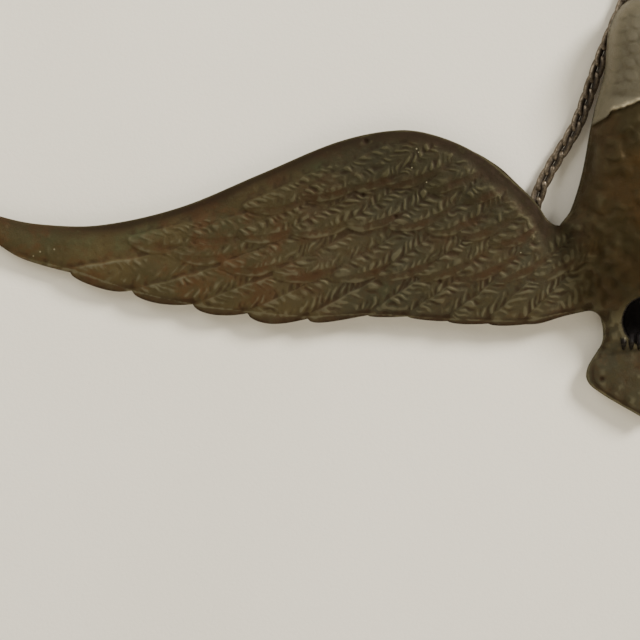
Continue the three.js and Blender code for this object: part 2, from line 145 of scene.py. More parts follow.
# What the source leaves to this script: the wing's exact edges, scallops, slanted tips, barbs and shafts
scallop_share = through([
    (0, 0.05), (100, 0.05), (145, 0.06), (170, 0.13), (200, 0.12), (250, 0.125), (HALF_SPAN, 0),
])
SCALLOP_BOW = 2.6
top_rise = through([(20, 0), (50, 0), (58, 1.2), (66, 1.9), (74, 0.9), (82, 0.2), (HALF_SPAN, 0)])
low_drop = through([
    (20, 0.3), (36, 1.5), (47, 2.5), (58, 1.8), (75, 1.5), (92, 1.1), (105, 0.3), (120, 0.5), (140, 1.2),
    (160, 1.2), (180, 1.1), (200, 0.5), (212, 0), (232, -0.5), (245, 0.8), (258, 1), (272, 1.8), (285, 1.3),
    (300, 0.3), (HALF_SPAN, 0),
])
TIP_SLANT = 2.3
TIP_FILLET = 3
ROUND_TIP = 0.3
SMOOTH_TIP = 4.2
FLIGHT_BAND = 2.4
UNDER_FEATHERS = 0.25
ROOT_DIP = 0.6
LOW_EDGE_SHARE = 0.3
CROWN_SHARE = 0.35
VANE_LIFT = 0.25
BARB_SPACING = 3.9
BARB_SLANT = 0.95
BARB_DEPTH = 0.62
BAR_SHARE = 0.6
SHAFT_PLACE = -0.15
RIM_LIFT = 0.16
TIP_SHARE = 0.45
leading_band = through([(38, 8), (70, 7.5), (100, 5.2), (130, 4.6), (HALF_SPAN, 4.2)])
AXIS_SAMPLES = 40
FEATHER_WANDER = 0.5
WANDER_SCALE = 6
FEATHER_EDGE = 0.8
FEATHER_EDGE_DROP = 0.5

# Body and head
body_half = through([
    (-186, 20.5), (-178, 18.3), (-169, 22.3), (-163, 26.5), (-155, 31.5), (-142, 38), (-130, 39.6),
    (-122, 34.6), (-105, 29.3), (-81, 24.7), (-66, 20.4), (-57, 17.6),
])
body_front = through([
    (-186, 13), (-178, 15.5), (-170, 20), (-162, 25), (-152, 29.5), (-140, 32), (-125, 32.5),
    (-105, 31), (-85, 28), (-70, 26), (-57, 24),
])
BODY_LOW = -186
BODY_TOP = -57
BODY_RIM = 10
BODY_WALL = 4
CASTING_BACK = 6.5
head_back_edge = through([
    (-74, -22.6), (-66, -20.6), (-58, -18.6), (-48, -18), (-38, -16.8), (-30, -13.4), (-25, -8.6),
    (-21.9, -1),
])
head_face_edge = through([
    (-74, 22.6), (-66, 19), (-59, 17), (-52, 19.6), (-44, 21.4), (-37, 20.4), (-30, 16.4), (-25, 10.8),
    (-21.9, 4),
])
head_front = through([(-74, 27), (-62, 28.5), (-52, 31.5), (-42, 33), (-32, 30), (-25, 23), (-21.9, 15)])
HEAD_LOW = -74
HEAD_TOP = -21.9
HEAD_HOLLOW_TOP = -28
EYE = (9.5, -39)
EYE_RADIUS = 2.6
BROW = dict(tip=(17.5, -39.5), heading=24, lead=-14, length=17, half=2.2, lift=2.4)
BODY_ROWS = [
    dict(z=-98, drop=0.008, count=4, width=20, length=20, half=5.6, lift=0.45),
    dict(z=-122, drop=0.006, count=5, width=26, length=22, half=6.2, lift=0.45),
]
NECK_ROW_PLACES = (-62, -56, -50, -44, -38, -32)
NECK_FEATHERS = 5
NECK_FEATHER = dict(heading=90, length=9, half=3.2, lift=0.5)
BODY_BARBS = 0.25
BREAST_RING = (-8, -87.5, 3.1)
BREAST_RING_WIDTH = 1.2
BREAST_RING_LIFT = 0.8
BODY_FILLET = 9
HEAD_FILLET = 2
CORNER_FILLET = 5
HEAD_SINK = 5
FOOT_START = 0.6
FOOT_REACH = 9
FOOT_DROP = 3
FOOT_SLOPE = 0.5
SHOULDER_WIDTH = 9
SHOULDER_BLUR = 4
WEAR_RADIUS = 1.0
WEAR_SHARE = 0.6
TAIL_FILLET = 1.5
VENT_SINK = 7
VENT_REACH = 12
VENT_EASE = (-180, -197)
collar_edge = through([
    (0, -70.9), (4.5, -71.6), (10, -73.9), (14, -75.2), (16.6, -76.1), (18.4, -78.7), (21, -80.5),
    (26, -82.6),
])
COLLAR_STEP = 1.6
COLLAR_FADE = 9

# Rounding along the outline, least thickness, and how far around a point its patina looks for hollows
CASTING_EDGE = 0.9
OUTLINE_DROP = 0.2
CROSSING_SHARES = (0.04, 0.96)
LEAST_SHEET = 1.2
FRONT_PLAY = 0.2
CAVITY_RADIUS = 1.3
CAVITY_LIMIT = 3

# Small dark pits of the wing and the tail, and painted glints on the wing, on -X: x, z and radius
PITS = [
    (-129.8, -89.8, 1.1), (-131.4, -114.9, 0.9), (-95.5, -155.1, 0.9), (-116.1, -125, 0.8),
    (-20, -200.5, 1.3),
]
PIT_DEPTH = 0.7
PAINTED_GLINTS = [
    (-106.3, -93.4, 0.41), (-105.4, -95, 0.3), (-108.5, -102.2, 0.38), (-101.7, -109, 0.34),
    (-281.5, -141.2, 0.45), (-274.9, -140.1, 0.45), (-284.7, -143.2, 0.38), (-58, -141.7, 0.34),
]

# Greener patches of patina on both wings and the body: x, z, radius and strength
PATINA_SPOTS = [
    (-236, -133, 6, 0.7), (-243, -137, 5, 0.5), (-229, -131, 5, 0.6), (-262, -136, 8, 0.4),
    (-281, -135, 9, 0.35), (-156.5, -105, 2.2, 0.9), (-152, -101, 3.5, 0.5), (-193, -127, 5, 0.4),
    (-120, -160, 8, 0.25), (88, -140, 7, 0.4), (170, -130, 8, 0.5), (-8, -140, 6, 0.3), (232, -150, 7, 0.4),
]

# Tail
TAIL_LOW = -219.1
TAIL_TOP = -176
tail_half = through([
    (TAIL_LOW, 0.6), (-217.7, 2.4), (-212.5, 11.6), (-208.8, 17.8), (-204.4, 24.2), (-201.4, 26.6),
    (-198.1, 27.2), (-193.5, 25.8), (-184.4, 20.3), (TAIL_TOP, 17.6),
])
TAIL_RIM = 8
TAIL_SWELL = 3
TAIL_FULL_SWELL = 12
TAIL_BEVEL = 0.9
TAIL_BEVEL_WIDTH = 2.2

# Oval hollow, claws, lugs, pad and beak
HOLLOW_Z = -173.5
HOLLOW_HALF_WIDTH = 11.3
HOLLOW_HALF_HEIGHT = 11.6
HOLLOW_FLOOR = 9
HOLLOW_WALL = 2.2
CLAW_PLACES = (3, 6.6, 10.2)
CLAW_RINGS = [(-179, 12, 1.3), (-182, 13.4, 1.5), (-184.6, 13.6, 1.2), (-187, 11, 0.5)]
CLAW_STEPS = 14
CLAW_SIDES = 12
CLAW_LEAN = 0.3
CLAW_REACH = 14
CLAW_HEIGHTS = (-192, -172)
LUG_OUT = 54.9
LUG_Z = -132.1
LUG_THICK = 2.4
LUG_HALF_HEIGHT = 4.6
LUG_DEPTH = 12.5
LUG_HOLE = 2.1
PAD_Z = -199
PAD_RADIUS = 4.5
BEAK_START = 12
BEAK_LOW = -60
BEAK_BACK = 15
BEAK_DEPTH = 24
BEAK_LEAN = 0.25
BEAK_RINGS = [
    (14, -44, 7.4, 7), (21, -44.4, 6.2, 5.6), (27, -45.4, 5, 4.4), (31, -47.6, 3.6, 3.2),
    (33.2, -51, 2, 1.8), (33.4, -55, 0.5, 0.5),
]
BEAK_STEPS = 28
MOUTH_DEPTH = 0.16
MOUTH_PLACE = -0.35
MOUTH_WIDTH = 0.1
MOUTH_ROWS = (22, 10)
ROUND_SIDES = 24
SMOOTH_ANGLE = 62

# Chain: it runs as in the source, with links of fatter, flatter wire that is twisted less
CHAIN_Y = -3.6
LINKS_A_SIDE = 16
LINK_HALF_WIDTH = 1.68
LINK_WIRE = 1.6
LINK_TWIST = 38
END_TWIST = 90
LINK_SQUARENESS = 0.8
RING_WIRE = 1.5
RING_RADIUS = 3.75
HANGING_RADIUS = 5
PLAY = 0.4
chain_stray = through([
    (0, 0), (0.04, 0), (0.15, -2.2), (0.27, -0.6), (0.39, 1.9), (0.5, 1.2), (0.64, 0), (1, 0),
])
LINK_WIDE = 3.15
LINK_THICK = 2.0
LINK_LAP = 3.0
LINK_STEPS = 64
RING_STEPS = 56
TUBE_SIDES = 14
HANGING_Z = -(HANGING_RADIUS - LINK_WIRE / 2)


def ease(low, high, value):
    """0 below low, 1 above high and smooth between."""
    t = np.clip((value - low) / (high - low), 0, 1)
    return t * t * (3 - 2 * t)


def bell(value, middle, width):
    return np.exp(-(((value - middle) / width) ** 2))


def least(*fields):
    """The smallest of several fields, point by point."""
    return functools.reduce(np.minimum, fields)


def edge_drop(distance, width):
    """How far a rounded edge lies below its top, as a share: 1 at the edge and 0 from the width on."""
    return 1 - np.sqrt(1 - (1 - np.clip(distance / width, 0, 1)) ** 2)


def turns(count):
    """The angles of so many equal steps round a circle."""
    return np.linspace(0, 2 * math.pi, count, endpoint=False)


def noise(x, z, scale, seed):
    """Smooth noise from -1 to 1, with lumps of about the scale."""
    cells = 64
    lattice = np.random.default_rng(seed).uniform(-1, 1, (cells, cells))
    u, v = x / scale, z / scale
    i, j = np.floor(u).astype(int), np.floor(v).astype(int)
    fu, fv = ease(0, 1, u - i), ease(0, 1, v - j)

    def corner(a, b):
        return lattice[(i + a) % cells, (j + b) % cells]

    near = corner(0, 0) * (1 - fu) + corner(1, 0) * fu
    far = corner(0, 1) * (1 - fu) + corner(1, 1) * fu
    return near * (1 - fv) + far * fv


def wing_chord(out, z):
    """How far down the wing a point is, from 0 at its leading edge to 1 at its lower edge."""
    top = wing_top(out)
    return np.clip((top - z) / (top - wing_bottom(out)), 0, 1)


def wing_height(x, z):
    """Height of the plain wing above the wall."""
    out = np.abs(x)
    chord = wing_chord(out, z)
    reach = np.clip(out / HALF_SPAN, 0, 1)
    rim = ROOT_RIM + (TIP_RIM - ROOT_RIM) * reach
    swell = WING_SWELL * (1 - reach**3) * np.sqrt(4 * chord * (1 - chord))
    return rim + swell + EDGE_ROLL * bell(chord, EDGE_ROLL_PLACE, EDGE_ROLL_WIDTH)


def dome_height(x, left, right, front):
    side = np.minimum(np.abs(2 * x - left - right) / (right - left), 1)
    return BODY_RIM + (front - BODY_RIM) * np.sqrt(1 - side * side)


def body_height(x, z):
    return dome_height(x, -body_half(z), body_half(z), body_front(z))


def head_height(x, z):
    return dome_height(x, head_back_edge(z), head_face_edge(z), head_front(z))


def tail_height(x, z):
    """Height of the tail above the wall, before the bevel along its edge."""
    half = tail_half(z)
    across = np.clip(np.abs(x) / half, 0, 1)
    return TAIL_RIM + TAIL_SWELL * (1 - across**2) * np.minimum(1, half / TAIL_FULL_SWELL)


def stride(heading, reach):
    """A step of so many millimetres towards a heading, in degrees up from the way to the body."""
    angle = math.radians(heading)
    return np.array([-math.cos(angle), math.sin(angle)]) * reach


def smooth_max(a, b, fillet):
    """The larger of two heights, with a fillet where they meet."""
    gap = np.maximum(fillet - np.abs(a - b), 0) / fillet
    return np.maximum(a, b) + gap * gap * fillet / 4


class Relief:
    """The front of the casting on a grid: height, how far inside the outline, and what tints it."""

    def __init__(self):
        reach = HALF_SPAN + GRID_MARGIN
        self.columns = np.arange(-reach, reach + GRID_STEP, GRID_STEP)
        self.rows = np.arange(GRID_LOW, HEAD_TOP + GRID_MARGIN, GRID_STEP)
        self.x, self.z = np.meshgrid(self.columns, self.rows)
        self.height = np.full(self.x.shape, FAR_BELOW)
        self.inside = np.full(self.x.shape, FAR_BELOW)
        self.carving = np.zeros(self.x.shape)
        self.copper = np.zeros(self.x.shape)

    def window(self, low, high):
        """The part of the grid between two corners."""
        columns = slice(*np.searchsorted(self.columns, (low[0], high[0])))
        rows = slice(*np.searchsorted(self.rows, (low[1], high[1])))
        return rows, columns

    def blur(self, values, radius):
        """A box blur of so many millimetres, twice, that leaves out what is outside the outline."""
        reach = max(1, round(radius / GRID_STEP))
        weight = (self.inside > 0).astype(float)

        def box(field):
            for direction in (0, 1):
                padded = np.pad(field, [(reach + 1, reach) if k == direction else (0, 0) for k in (0, 1)])
                sums = np.cumsum(padded, axis=direction)
                size = field.shape[direction]
                high = np.take(sums, np.arange(size) + 2 * reach + 1, axis=direction)
                field = high - np.take(sums, np.arange(size), axis=direction)
            return field

        for _ in range(2):
            values = box(values * weight) / np.maximum(box(weight), 1e-6)
        return values


def scalloped_bottom(out):
    """The lower edge of the wing: a shallow bow from the tip of each flight feather to the next."""
    notches = np.array([tip[0] for tip in FEATHER_ROWS[0]["tips"][:0:-1]])
    i = np.clip(np.searchsorted(notches, out) - 1, 0, len(notches) - 2)
    spacing = notches[i + 1] - notches[i]
    share = np.clip((notches[i + 1] - out) / spacing, 0, 1)
    bow = SCALLOP_BOW * np.sqrt(share) * (1 - share)
    return wing_bottom(out) - low_drop(out) - scallop_share(out) * spacing * bow


def lay_plain_wings(relief):
    out = np.abs(relief.x)
    top, bottom = wing_top(out) + top_rise(out), scalloped_bottom(out)
    tilt = np.hypot(1, (wing_top(out + 1) - wing_top(out - 1)) / 2)
    below_top = (top - relief.z) / tilt
    inside = least(below_top, relief.z - bottom, HALF_SPAN - out, out - WING_INNER)
    relief.inside = np.maximum(relief.inside, inside)
    width = np.minimum(leading_band(out), 0.2 * (top - bottom))
    relief.band = 1 - ease(0.65, 1.5, below_top / width + 0.25 * noise(relief.x, relief.z, 9, 21))
    relief.band *= ease(38, 48, out)
    relief.rust = relief.band.copy()
    on_wing = (out > WING_INNER) & (relief.z > bottom - 4)
    relief.height = np.where(on_wing, wing_height(relief.x, relief.z), relief.height)


def feather_axis(tip, heading, lead, length):
    """Points along the middle of a feather from its tip, the ways they point, and how far along they are."""
    tip = np.array(tip, dtype=float)
    knee = tip + stride(heading + lead, length * KNEE_SHARE)
    root = knee + stride(heading, length * (1 - KNEE_SHARE))
    t = np.linspace(0, 1, AXIS_SAMPLES)[:, None]
    axis = (1 - t) ** 2 * tip + 2 * t * (1 - t) * knee + t**2 * root
    forward = 2 * (1 - t) * (knee - tip) + 2 * t * (root - knee)
    forward /= np.linalg.norm(forward, axis=1)[:, None]
    reach = np.insert(np.cumsum(np.linalg.norm(np.diff(axis, axis=0), axis=1)), 0, 0)
    return axis, forward, reach


def barb_relief(along, from_shaft, width, vane_edge, place, barbs, seed):
    """Soft raised bars with shallow pits between them, slanting away from both sides of the shaft."""
    x, z = place
    beside = np.abs(from_shaft)
    warp = 0.6 * noise(x, z, 7, seed + 2) + 0.28 * noise(x, z, 3, seed + 5)
    lower_half = from_shaft > 0
    phase = (along + BARB_SLANT * beside) / BARB_SPACING + warp + seed * 0.37 + 0.45 * lower_half

    def uneven(cells):
        """How strong each barb is, by chance and by where it lies."""
        chance = np.sin(cells * 12.99 + lower_half * 4.1 + seed * 7.8) * 9731.5
        chance -= np.floor(chance)
        return np.clip(0.25 + 1.3 * chance + 0.5 * noise(x, z, 6, seed + 3), 0, 1.6) * barbs

    wave = 0.5 - 0.5 * np.cos(2 * np.pi * phase)
    on_vane = ease(0.2, 2.2, vane_edge) * ease(0.8, 3, along)
    pit = uneven(np.floor(phase)) * wave**1.2 * ease(-0.1, 0.4, beside / width)
    bar = uneven(np.floor(phase + 0.5) + 0.5) * (1 - wave) ** 1.8 * bell(beside / width, 0.5, 0.32)
    return BARB_DEPTH * (BAR_SHARE * bar - (1 - BAR_SHARE) * pit) * on_vane


def lay_feather(
    relief, ground, tip, heading, length, half, lift, *, barbs, seed, lead=0, side=1, room=None, below=0,
    proud=1, is_flight=False, is_wing=False,
):
    """Lays one low overlapping feather on the ground, with its tilt, crown, barbs and raised rim."""
    axis, forward, reach = feather_axis(tip, heading, lead, length)
    margin = (1 + below) * half + 1
    low_x, high_x = np.sort(side * np.array([axis[:, 0].min() - margin, axis[:, 0].max() + margin]))
    window = relief.window((low_x, axis[:, 1].min() - margin), (high_x, axis[:, 1].max() + margin))
    x, z = relief.x[window], relief.z[window]
    out = side * x + FEATHER_WANDER * noise(x, z, WANDER_SCALE, seed)
    up = z + FEATHER_WANDER * noise(x, z, WANDER_SCALE, seed + 1)
    i = ((out[..., None] - axis[:, 0]) ** 2 + (up[..., None] - axis[:, 1]) ** 2).argmin(-1)
    across, rise = out - axis[i, 0], up - axis[i, 1]
    along = reach[i] + across * forward[i, 0] + rise * forward[i, 1]
    width = np.minimum(half, room(axis[:, 0]))[i] if room else half
    offset = rise * forward[i, 0] - across * forward[i, 1] - below * width
    t = np.clip(along / length, 0, 1)
    low = np.clip(offset / width, -1, 1)

    from_side = width - np.abs(offset)
    if is_wing:
        slant = np.clip((low + 0.8) / 1.8, 0, 1)
        start = TIP_SLANT * width * slant**2
        from_tip = (along - start) / np.hypot(1, 2 * TIP_SLANT * slant / 1.8)
        from_edge = -smooth_max(-from_side, -from_tip, TIP_FILLET)
    else:
        tip_length = ROUND_TIP * length
        from_edge = (1 - np.hypot(np.maximum(tip_length - along, 0) / tip_length, offset / width)) * width
    smooth = SMOOTH_TIP * ease(-0.9, 0.3, low) * ease(0.6, 0.2, t) * is_wing
    vane_edge = from_edge - smooth
    if is_flight:
        vane_edge = np.minimum(from_side, relief.inside[window] - FLIGHT_BAND * ease(-1, 7, along))
        from_edge = np.where(along > -4, from_side, -1)
    vane = ease(0.1, 0.9, vane_edge) * ease(0, 1.5, along)

    stand = (1 + proud * low) / 2
    tilt = lift * (1 - t) * (LOW_EDGE_SHARE + (1 - LOW_EDGE_SHARE) * stand)
    if is_wing:
        tilt *= TIP_SHARE + (1 - TIP_SHARE) * ease(-1, 9, along)
    crown = CROWN_SHARE * lift * (1 - low * low)
    band = relief.band[window]
    fade = (1 - band) * relief.relief_share[window]
    rounding = FEATHER_EDGE_DROP * edge_drop(from_edge, FEATHER_EDGE)
    standing = (tilt + crown - ROOT_DIP * t) * fade - rounding
    height = ground[window] + standing
    covers = (from_edge > 0) & (along < length) & (height > relief.height[window]) & (band < 0.9)

    barbing = barb_relief(along, offset - SHAFT_PLACE * width, width, vane_edge, (x, z), barbs, seed)
    rim = RIM_LIFT * bell(from_edge, 0.7, 0.5) * ease(0.8, 0.3, t) * ease(-0.2, 0.4, proud * low)
    rim = rim * ease(1, 8, along)
    carving = (VANE_LIFT * vane + barbing + rim) * fade * min(1, 2 * barbs)
    if is_flight:
        copper = np.zeros(vane.shape)
        rust = np.maximum((1 - vane) * ease(FLIGHT_BAND + 2, FLIGHT_BAND, relief.inside[window]), band)
    else:
        low_side = 0.45 + 0.55 * ease(-0.2, 0.4, low)
        copper = (1 - vane) * low_side * ease(0.7, 0.4, t) * ease(0.4, 1.2, from_edge)
        rust = band

    for layer, value in (("height", height), ("carving", carving), ("copper", copper), ("rust", rust)):
        view = getattr(relief, layer)[window]
        view[covers] = value[covers]


def lay_wing_feathers(relief):
    """All rows of the wings, which fade out on the sides of the body."""
    ground = relief.height.copy()
    out = np.abs(relief.x)
    below_edge = np.maximum(ease(0, 8, wing_top(out) - relief.z), ease(44, 56, out))
    on_wing = ease(10, 31, out + 0.12 * (relief.z + 150)) * below_edge
    relief.relief_share = on_wing
    relief.height = relief.height - UNDER_FEATHERS * on_wing * (1 - relief.band) * ease(0, 3, relief.inside)
    for side in (-1, 1):
        for row_number, row in enumerate(FEATHER_ROWS):
            for number, tip in enumerate(row["tips"]):
                form = {key: value for key, value in row.items() if key != "tips"}
                length = min(form.pop("length"), tip[0] * 1.1 - 8)
                form["lift"] *= 1 - 0.45 * float(ease(150, 230, tip[0]))
                lay_feather(
                    relief, ground, tip, float(feather_angle(tip[0])), length, side=side, is_wing=True,
                    room=lambda out: ROOM_SHARE * (wing_top(out) - wing_bottom(out)),
                    barbs=0.15 + float(ease(300, 250, tip[0])) * (1.2 - 0.5 * float(ease(150, 230, tip[0]))),
                    seed=100 * row_number + 7 * number + 500 * (side + 1), **form,
                )


def lay_tail(relief):
    """The fan of the tail, with its bevelled edge, a line along it and a few soft wrinkles."""
    x, z = relief.x, relief.z
    from_side = tail_half(z) - np.abs(x)
    from_edge = np.minimum(from_side * 0.8, z - TAIL_LOW)
    inside = np.minimum(from_edge, TAIL_TOP - z)
    line = 0.45 * bell(from_side * 0.86, 2.6, 0.5) * ease(-195, -199, z)
    wrinkle = 0.2 * noise(x, z / 3, 3.2, 71) + 0.25 * noise(x, z, 5, 72)
    height = tail_height(x, z) - TAIL_BEVEL * ease(TAIL_BEVEL_WIDTH, 0, from_edge)
    covers = (inside > 0) & (height > relief.height)
    relief.height = np.where(covers, height, relief.height)
    relief.carving = np.where(covers, wrinkle - line, relief.carving)
    relief.inside = np.maximum(relief.inside, inside)


def lay_body(relief):
    """The body and the head, run smoothly into the wings and the tail."""
    x, z = relief.x, relief.z
    out = np.abs(x)
    sink = VENT_SINK * ease(*VENT_EASE, z)
    body = body_height(x, z) - sink
    head = head_height(x, z) - HEAD_SINK * ease(HEAD_LOW + 8, HEAD_LOW, z)
    body_fillet = TAIL_FILLET + (BODY_FILLET - TAIL_FILLET) * ease(-178, -160, z)
    for height, low, top, inside, fillet in (
        (body, BODY_LOW - VENT_REACH, BODY_TOP, body_half(z) - out, body_fillet),
        (head, HEAD_LOW, HEAD_TOP, np.minimum(x - head_back_edge(z), head_face_edge(z) - x), HEAD_FILLET),
    ):
        inside = least(inside, z - low, top - z)
        foot = np.where(inside > -FOOT_REACH, BODY_RIM - FOOT_DROP + FOOT_SLOPE * inside, FAR_BELOW)
        height = np.where(inside > -FOOT_START, height, foot)
        lifted = smooth_max(relief.height, height, fillet)
        meets = (relief.height > FAR_BELOW) & (inside > -FOOT_REACH)
        relief.height = np.where(meets, lifted, np.maximum(relief.height, height))
        inside = np.where(z > BODY_LOW - 1, inside, FAR_BELOW)
        rounded = smooth_max(relief.inside, inside, CORNER_FILLET)
        share = ease(-184, -176, z) * (1 - 0.7 * ease(-150, -140, z))
        relief.inside = np.maximum(relief.inside, inside) * (1 - share) + rounded * share
    shoulder = bell(body_half(z) - out, 0, SHOULDER_WIDTH) * ease(-178, -166, z) * ease(-122, -130, z)
    relief.height += shoulder * (relief.blur(relief.height, SHOULDER_BLUR) - relief.height)


def lay_body_feathers(relief):
    """The worn breast feathers of the source, soft lumps between them, and the finer plumage of the neck."""
    ground = relief.height.copy()
    relief.relief_share = np.ones(relief.x.shape)
    for number, row in enumerate(BODY_ROWS):
        for i in range(row["count"]):
            x = row["width"] * ((2 * i + 1) / row["count"] - 1)
            tip = (abs(x), row["z"] - row["drop"] * x * x)
            lay_feather(
                relief, ground, tip, 90, row["length"], row["half"], row["lift"],
                side=-1 if x < 0 else 1, barbs=BODY_BARBS, seed=900 + 40 * number + 4 * i,
            )
    for number, z in enumerate(NECK_ROW_PLACES):
        middle = float(head_back_edge(z) + head_face_edge(z)) / 2
        half = float(head_face_edge(z) - head_back_edge(z)) / 2
        count = NECK_FEATHERS + number % 2
        for i in range(count):
            x = middle + half * 0.9 * ((2 * i + 1) / count - 1)
            tip = (x, z - 0.01 * (x - middle) ** 2)
            seed = 1300 + 40 * number + 4 * i
            lay_feather(relief, ground, tip, barbs=BODY_BARBS, seed=seed, **NECK_FEATHER)
    x, z = relief.x, relief.z
    on_body = ease(46, 26, np.abs(x)) * ease(-190, -178, z) * ease(-72, -80, z + 0.4 * np.abs(x))
    lumps = 0.8 * noise(x, z, 9, 91) + np.maximum(noise(x, z, 4.5, 92), -0.1) + 0.2 * noise(x, z, 2.5, 94)
    flank = bell(np.abs(x), 23, 16) * ease(-178, -166, z) * ease(-126, -140, z + 0.3 * np.abs(x))
    lumps += flank * (1.5 * noise(x, z, 3.8, 95) + 0.4 * noise(x, z, 2, 96))
    ring_x, ring_z, radius = BREAST_RING
    ring = bell(np.hypot(x - ring_x, z - ring_z), radius, BREAST_RING_WIDTH)
    relief.carving += on_body * (lumps + BREAST_RING_LIFT * ring * (1 + noise(x, z, 3, 93)))


def wear(relief):
    """Takes the crispness off the wings and the breast, as years of rubbing do."""
    relief.height += relief.carving
    relief.carving = np.zeros(relief.x.shape)
    softened = relief.blur(relief.height, WEAR_RADIUS)
    relief.height += WEAR_SHARE * ease(-60, -68, relief.z) * (softened - relief.height)
    relief.copper = relief.blur(relief.copper, 1.2)
    relief.rust = relief.blur(relief.rust, 0.8)
    relief.rust = np.maximum(relief.rust, 0.8 * ease(1.1, 0.3, relief.inside))
    for x, z, radius in PITS:
        pit = bell(np.hypot(relief.x - x, relief.z - z), 0, radius)
        relief.height -= PIT_DEPTH * pit
        relief.rust = np.maximum(relief.rust, pit)


def shape_collar(relief):
    """The step where the plumage of the neck ends on the breast, with a painted highlight along its lower
    edge.
    """
    x, z = relief.x, relief.z
    level = np.zeros(x.shape)
    above = z - collar_edge(np.abs(x)) + 0.5 * noise(x, level, 3.5, 81) + 0.25 * noise(x, level, 1.5, 82)
    step = COLLAR_STEP * np.exp(-np.maximum(above, 0) / COLLAR_FADE) * ease(-0.5, 0.3, above)
    on_body = (np.abs(x) < 26) & (z > -100)
    relief.carving = np.where(on_body, relief.carving + step - 0.3 * bell(above, -1.0, 0.7), relief.carving)
    relief.pale = np.where(np.abs(x) < 40, ease(-0.4, 0.4, above), 0)
    # Painted highlight: a pale line just above the step, along the collar's lower edge
    uneven = np.clip(0.75 + 0.6 * noise(x, z, 2.5, 83), 0.2, 1)
    relief.lit_edge = bell(above, 0.8, 0.7) * ease(18.5, 14, np.abs(x)) * uneven


def shape_eye(relief):
    """The brow, and under it the ball of the eye with its pupil and the groove round it."""
    ground = head_height(relief.x, relief.z)
    lay_feather(relief, ground, barbs=0, seed=1900, **BROW)
    away = np.hypot(relief.x - EYE[0], relief.z - EYE[1])
    ball = ground - 0.9 + np.sqrt(np.maximum(EYE_RADIUS**2 - away**2, 0))
    is_eye = away < EYE_RADIUS
    relief.carving = np.where(is_eye, -0.35 * bell(away, 0, 0.8), relief.carving)
    relief.carving -= 0.8 * bell(away, EYE_RADIUS + 0.5, 0.55)
    relief.height = np.where(is_eye, np.maximum(ball, ground - 0.9), relief.height)


def shape_hollow(relief):
    """The oval hollow between the legs, near-black with dark patina and painted shade, and a faint painted
    highlight on its lip.
    """
    away = np.hypot(relief.x / HOLLOW_HALF_WIDTH, (relief.z - HOLLOW_Z) / HOLLOW_HALF_HEIGHT)
    wall = HOLLOW_FLOOR + np.maximum(away - 0.9, 0) / 0.1 * 20
    # The lip is raised a little and carries a faint painted highlight; dark marks the hollow for dark patina
    # and painted shade
    relief.lip = bell(away, 1.04, 0.03)
    relief.dark = ease(1.03, 0.97, away)
    relief.carving = relief.carving * ease(1, 1.15, away) + 0.1 * relief.lip
    relief.height = np.minimum(relief.height, np.where(away < 1, wall, -FAR_BELOW))


def back_height(x, z):
    """Height of the back of the casting above the wall: thin behind the wings, hollow behind the body."""
    back = np.where(np.abs(x) > WING_INNER, wing_height(x, z) - SHEET, CASTING_BACK)
    back = np.where(z < BODY_LOW, tail_height(x, z) - SHEET, back)
    in_body = (np.abs(x) < body_half(z)) & (z > BODY_LOW) & (z < BODY_TOP)
    in_head = (x > head_back_edge(z)) & (x < head_face_edge(z)) & (z > HEAD_LOW)
    back = np.where(in_body | in_head, CASTING_BACK, back)
    inner_rim = BODY_RIM - 1
    for left, right, front, low, top in (
        (-body_half(z), body_half(z), body_front(z), BODY_LOW + BODY_WALL, BODY_TOP),
        (head_back_edge(z), head_face_edge(z), head_front(z), HEAD_LOW, HEAD_HOLLOW_TOP),
    ):
        half = (right - left) / 2 - BODY_WALL
        side = np.abs(x - (left + right) / 2) / half
        hollow = inner_rim + (front - BODY_WALL - inner_rim) * np.sqrt(1 - np.minimum(side, 1) ** 2)
        depth = least((1 - side) * half, z - low, top - z)
        deep = CASTING_BACK + (hollow - CASTING_BACK) * ease(0, 1.5, depth)
        back = np.maximum(back, np.where(depth > 0, deep, 0))
    cup_half_width, cup_half_height = HOLLOW_HALF_WIDTH + HOLLOW_WALL, HOLLOW_HALF_HEIGHT + HOLLOW_WALL
    cup = np.hypot(x / cup_half_width, (z - HOLLOW_Z) / cup_half_height)
    back = np.where(cup < 1, CASTING_BACK, back)
    return np.where(np.hypot(x, z - PAD_Z) < PAD_RADIUS, 0, back)


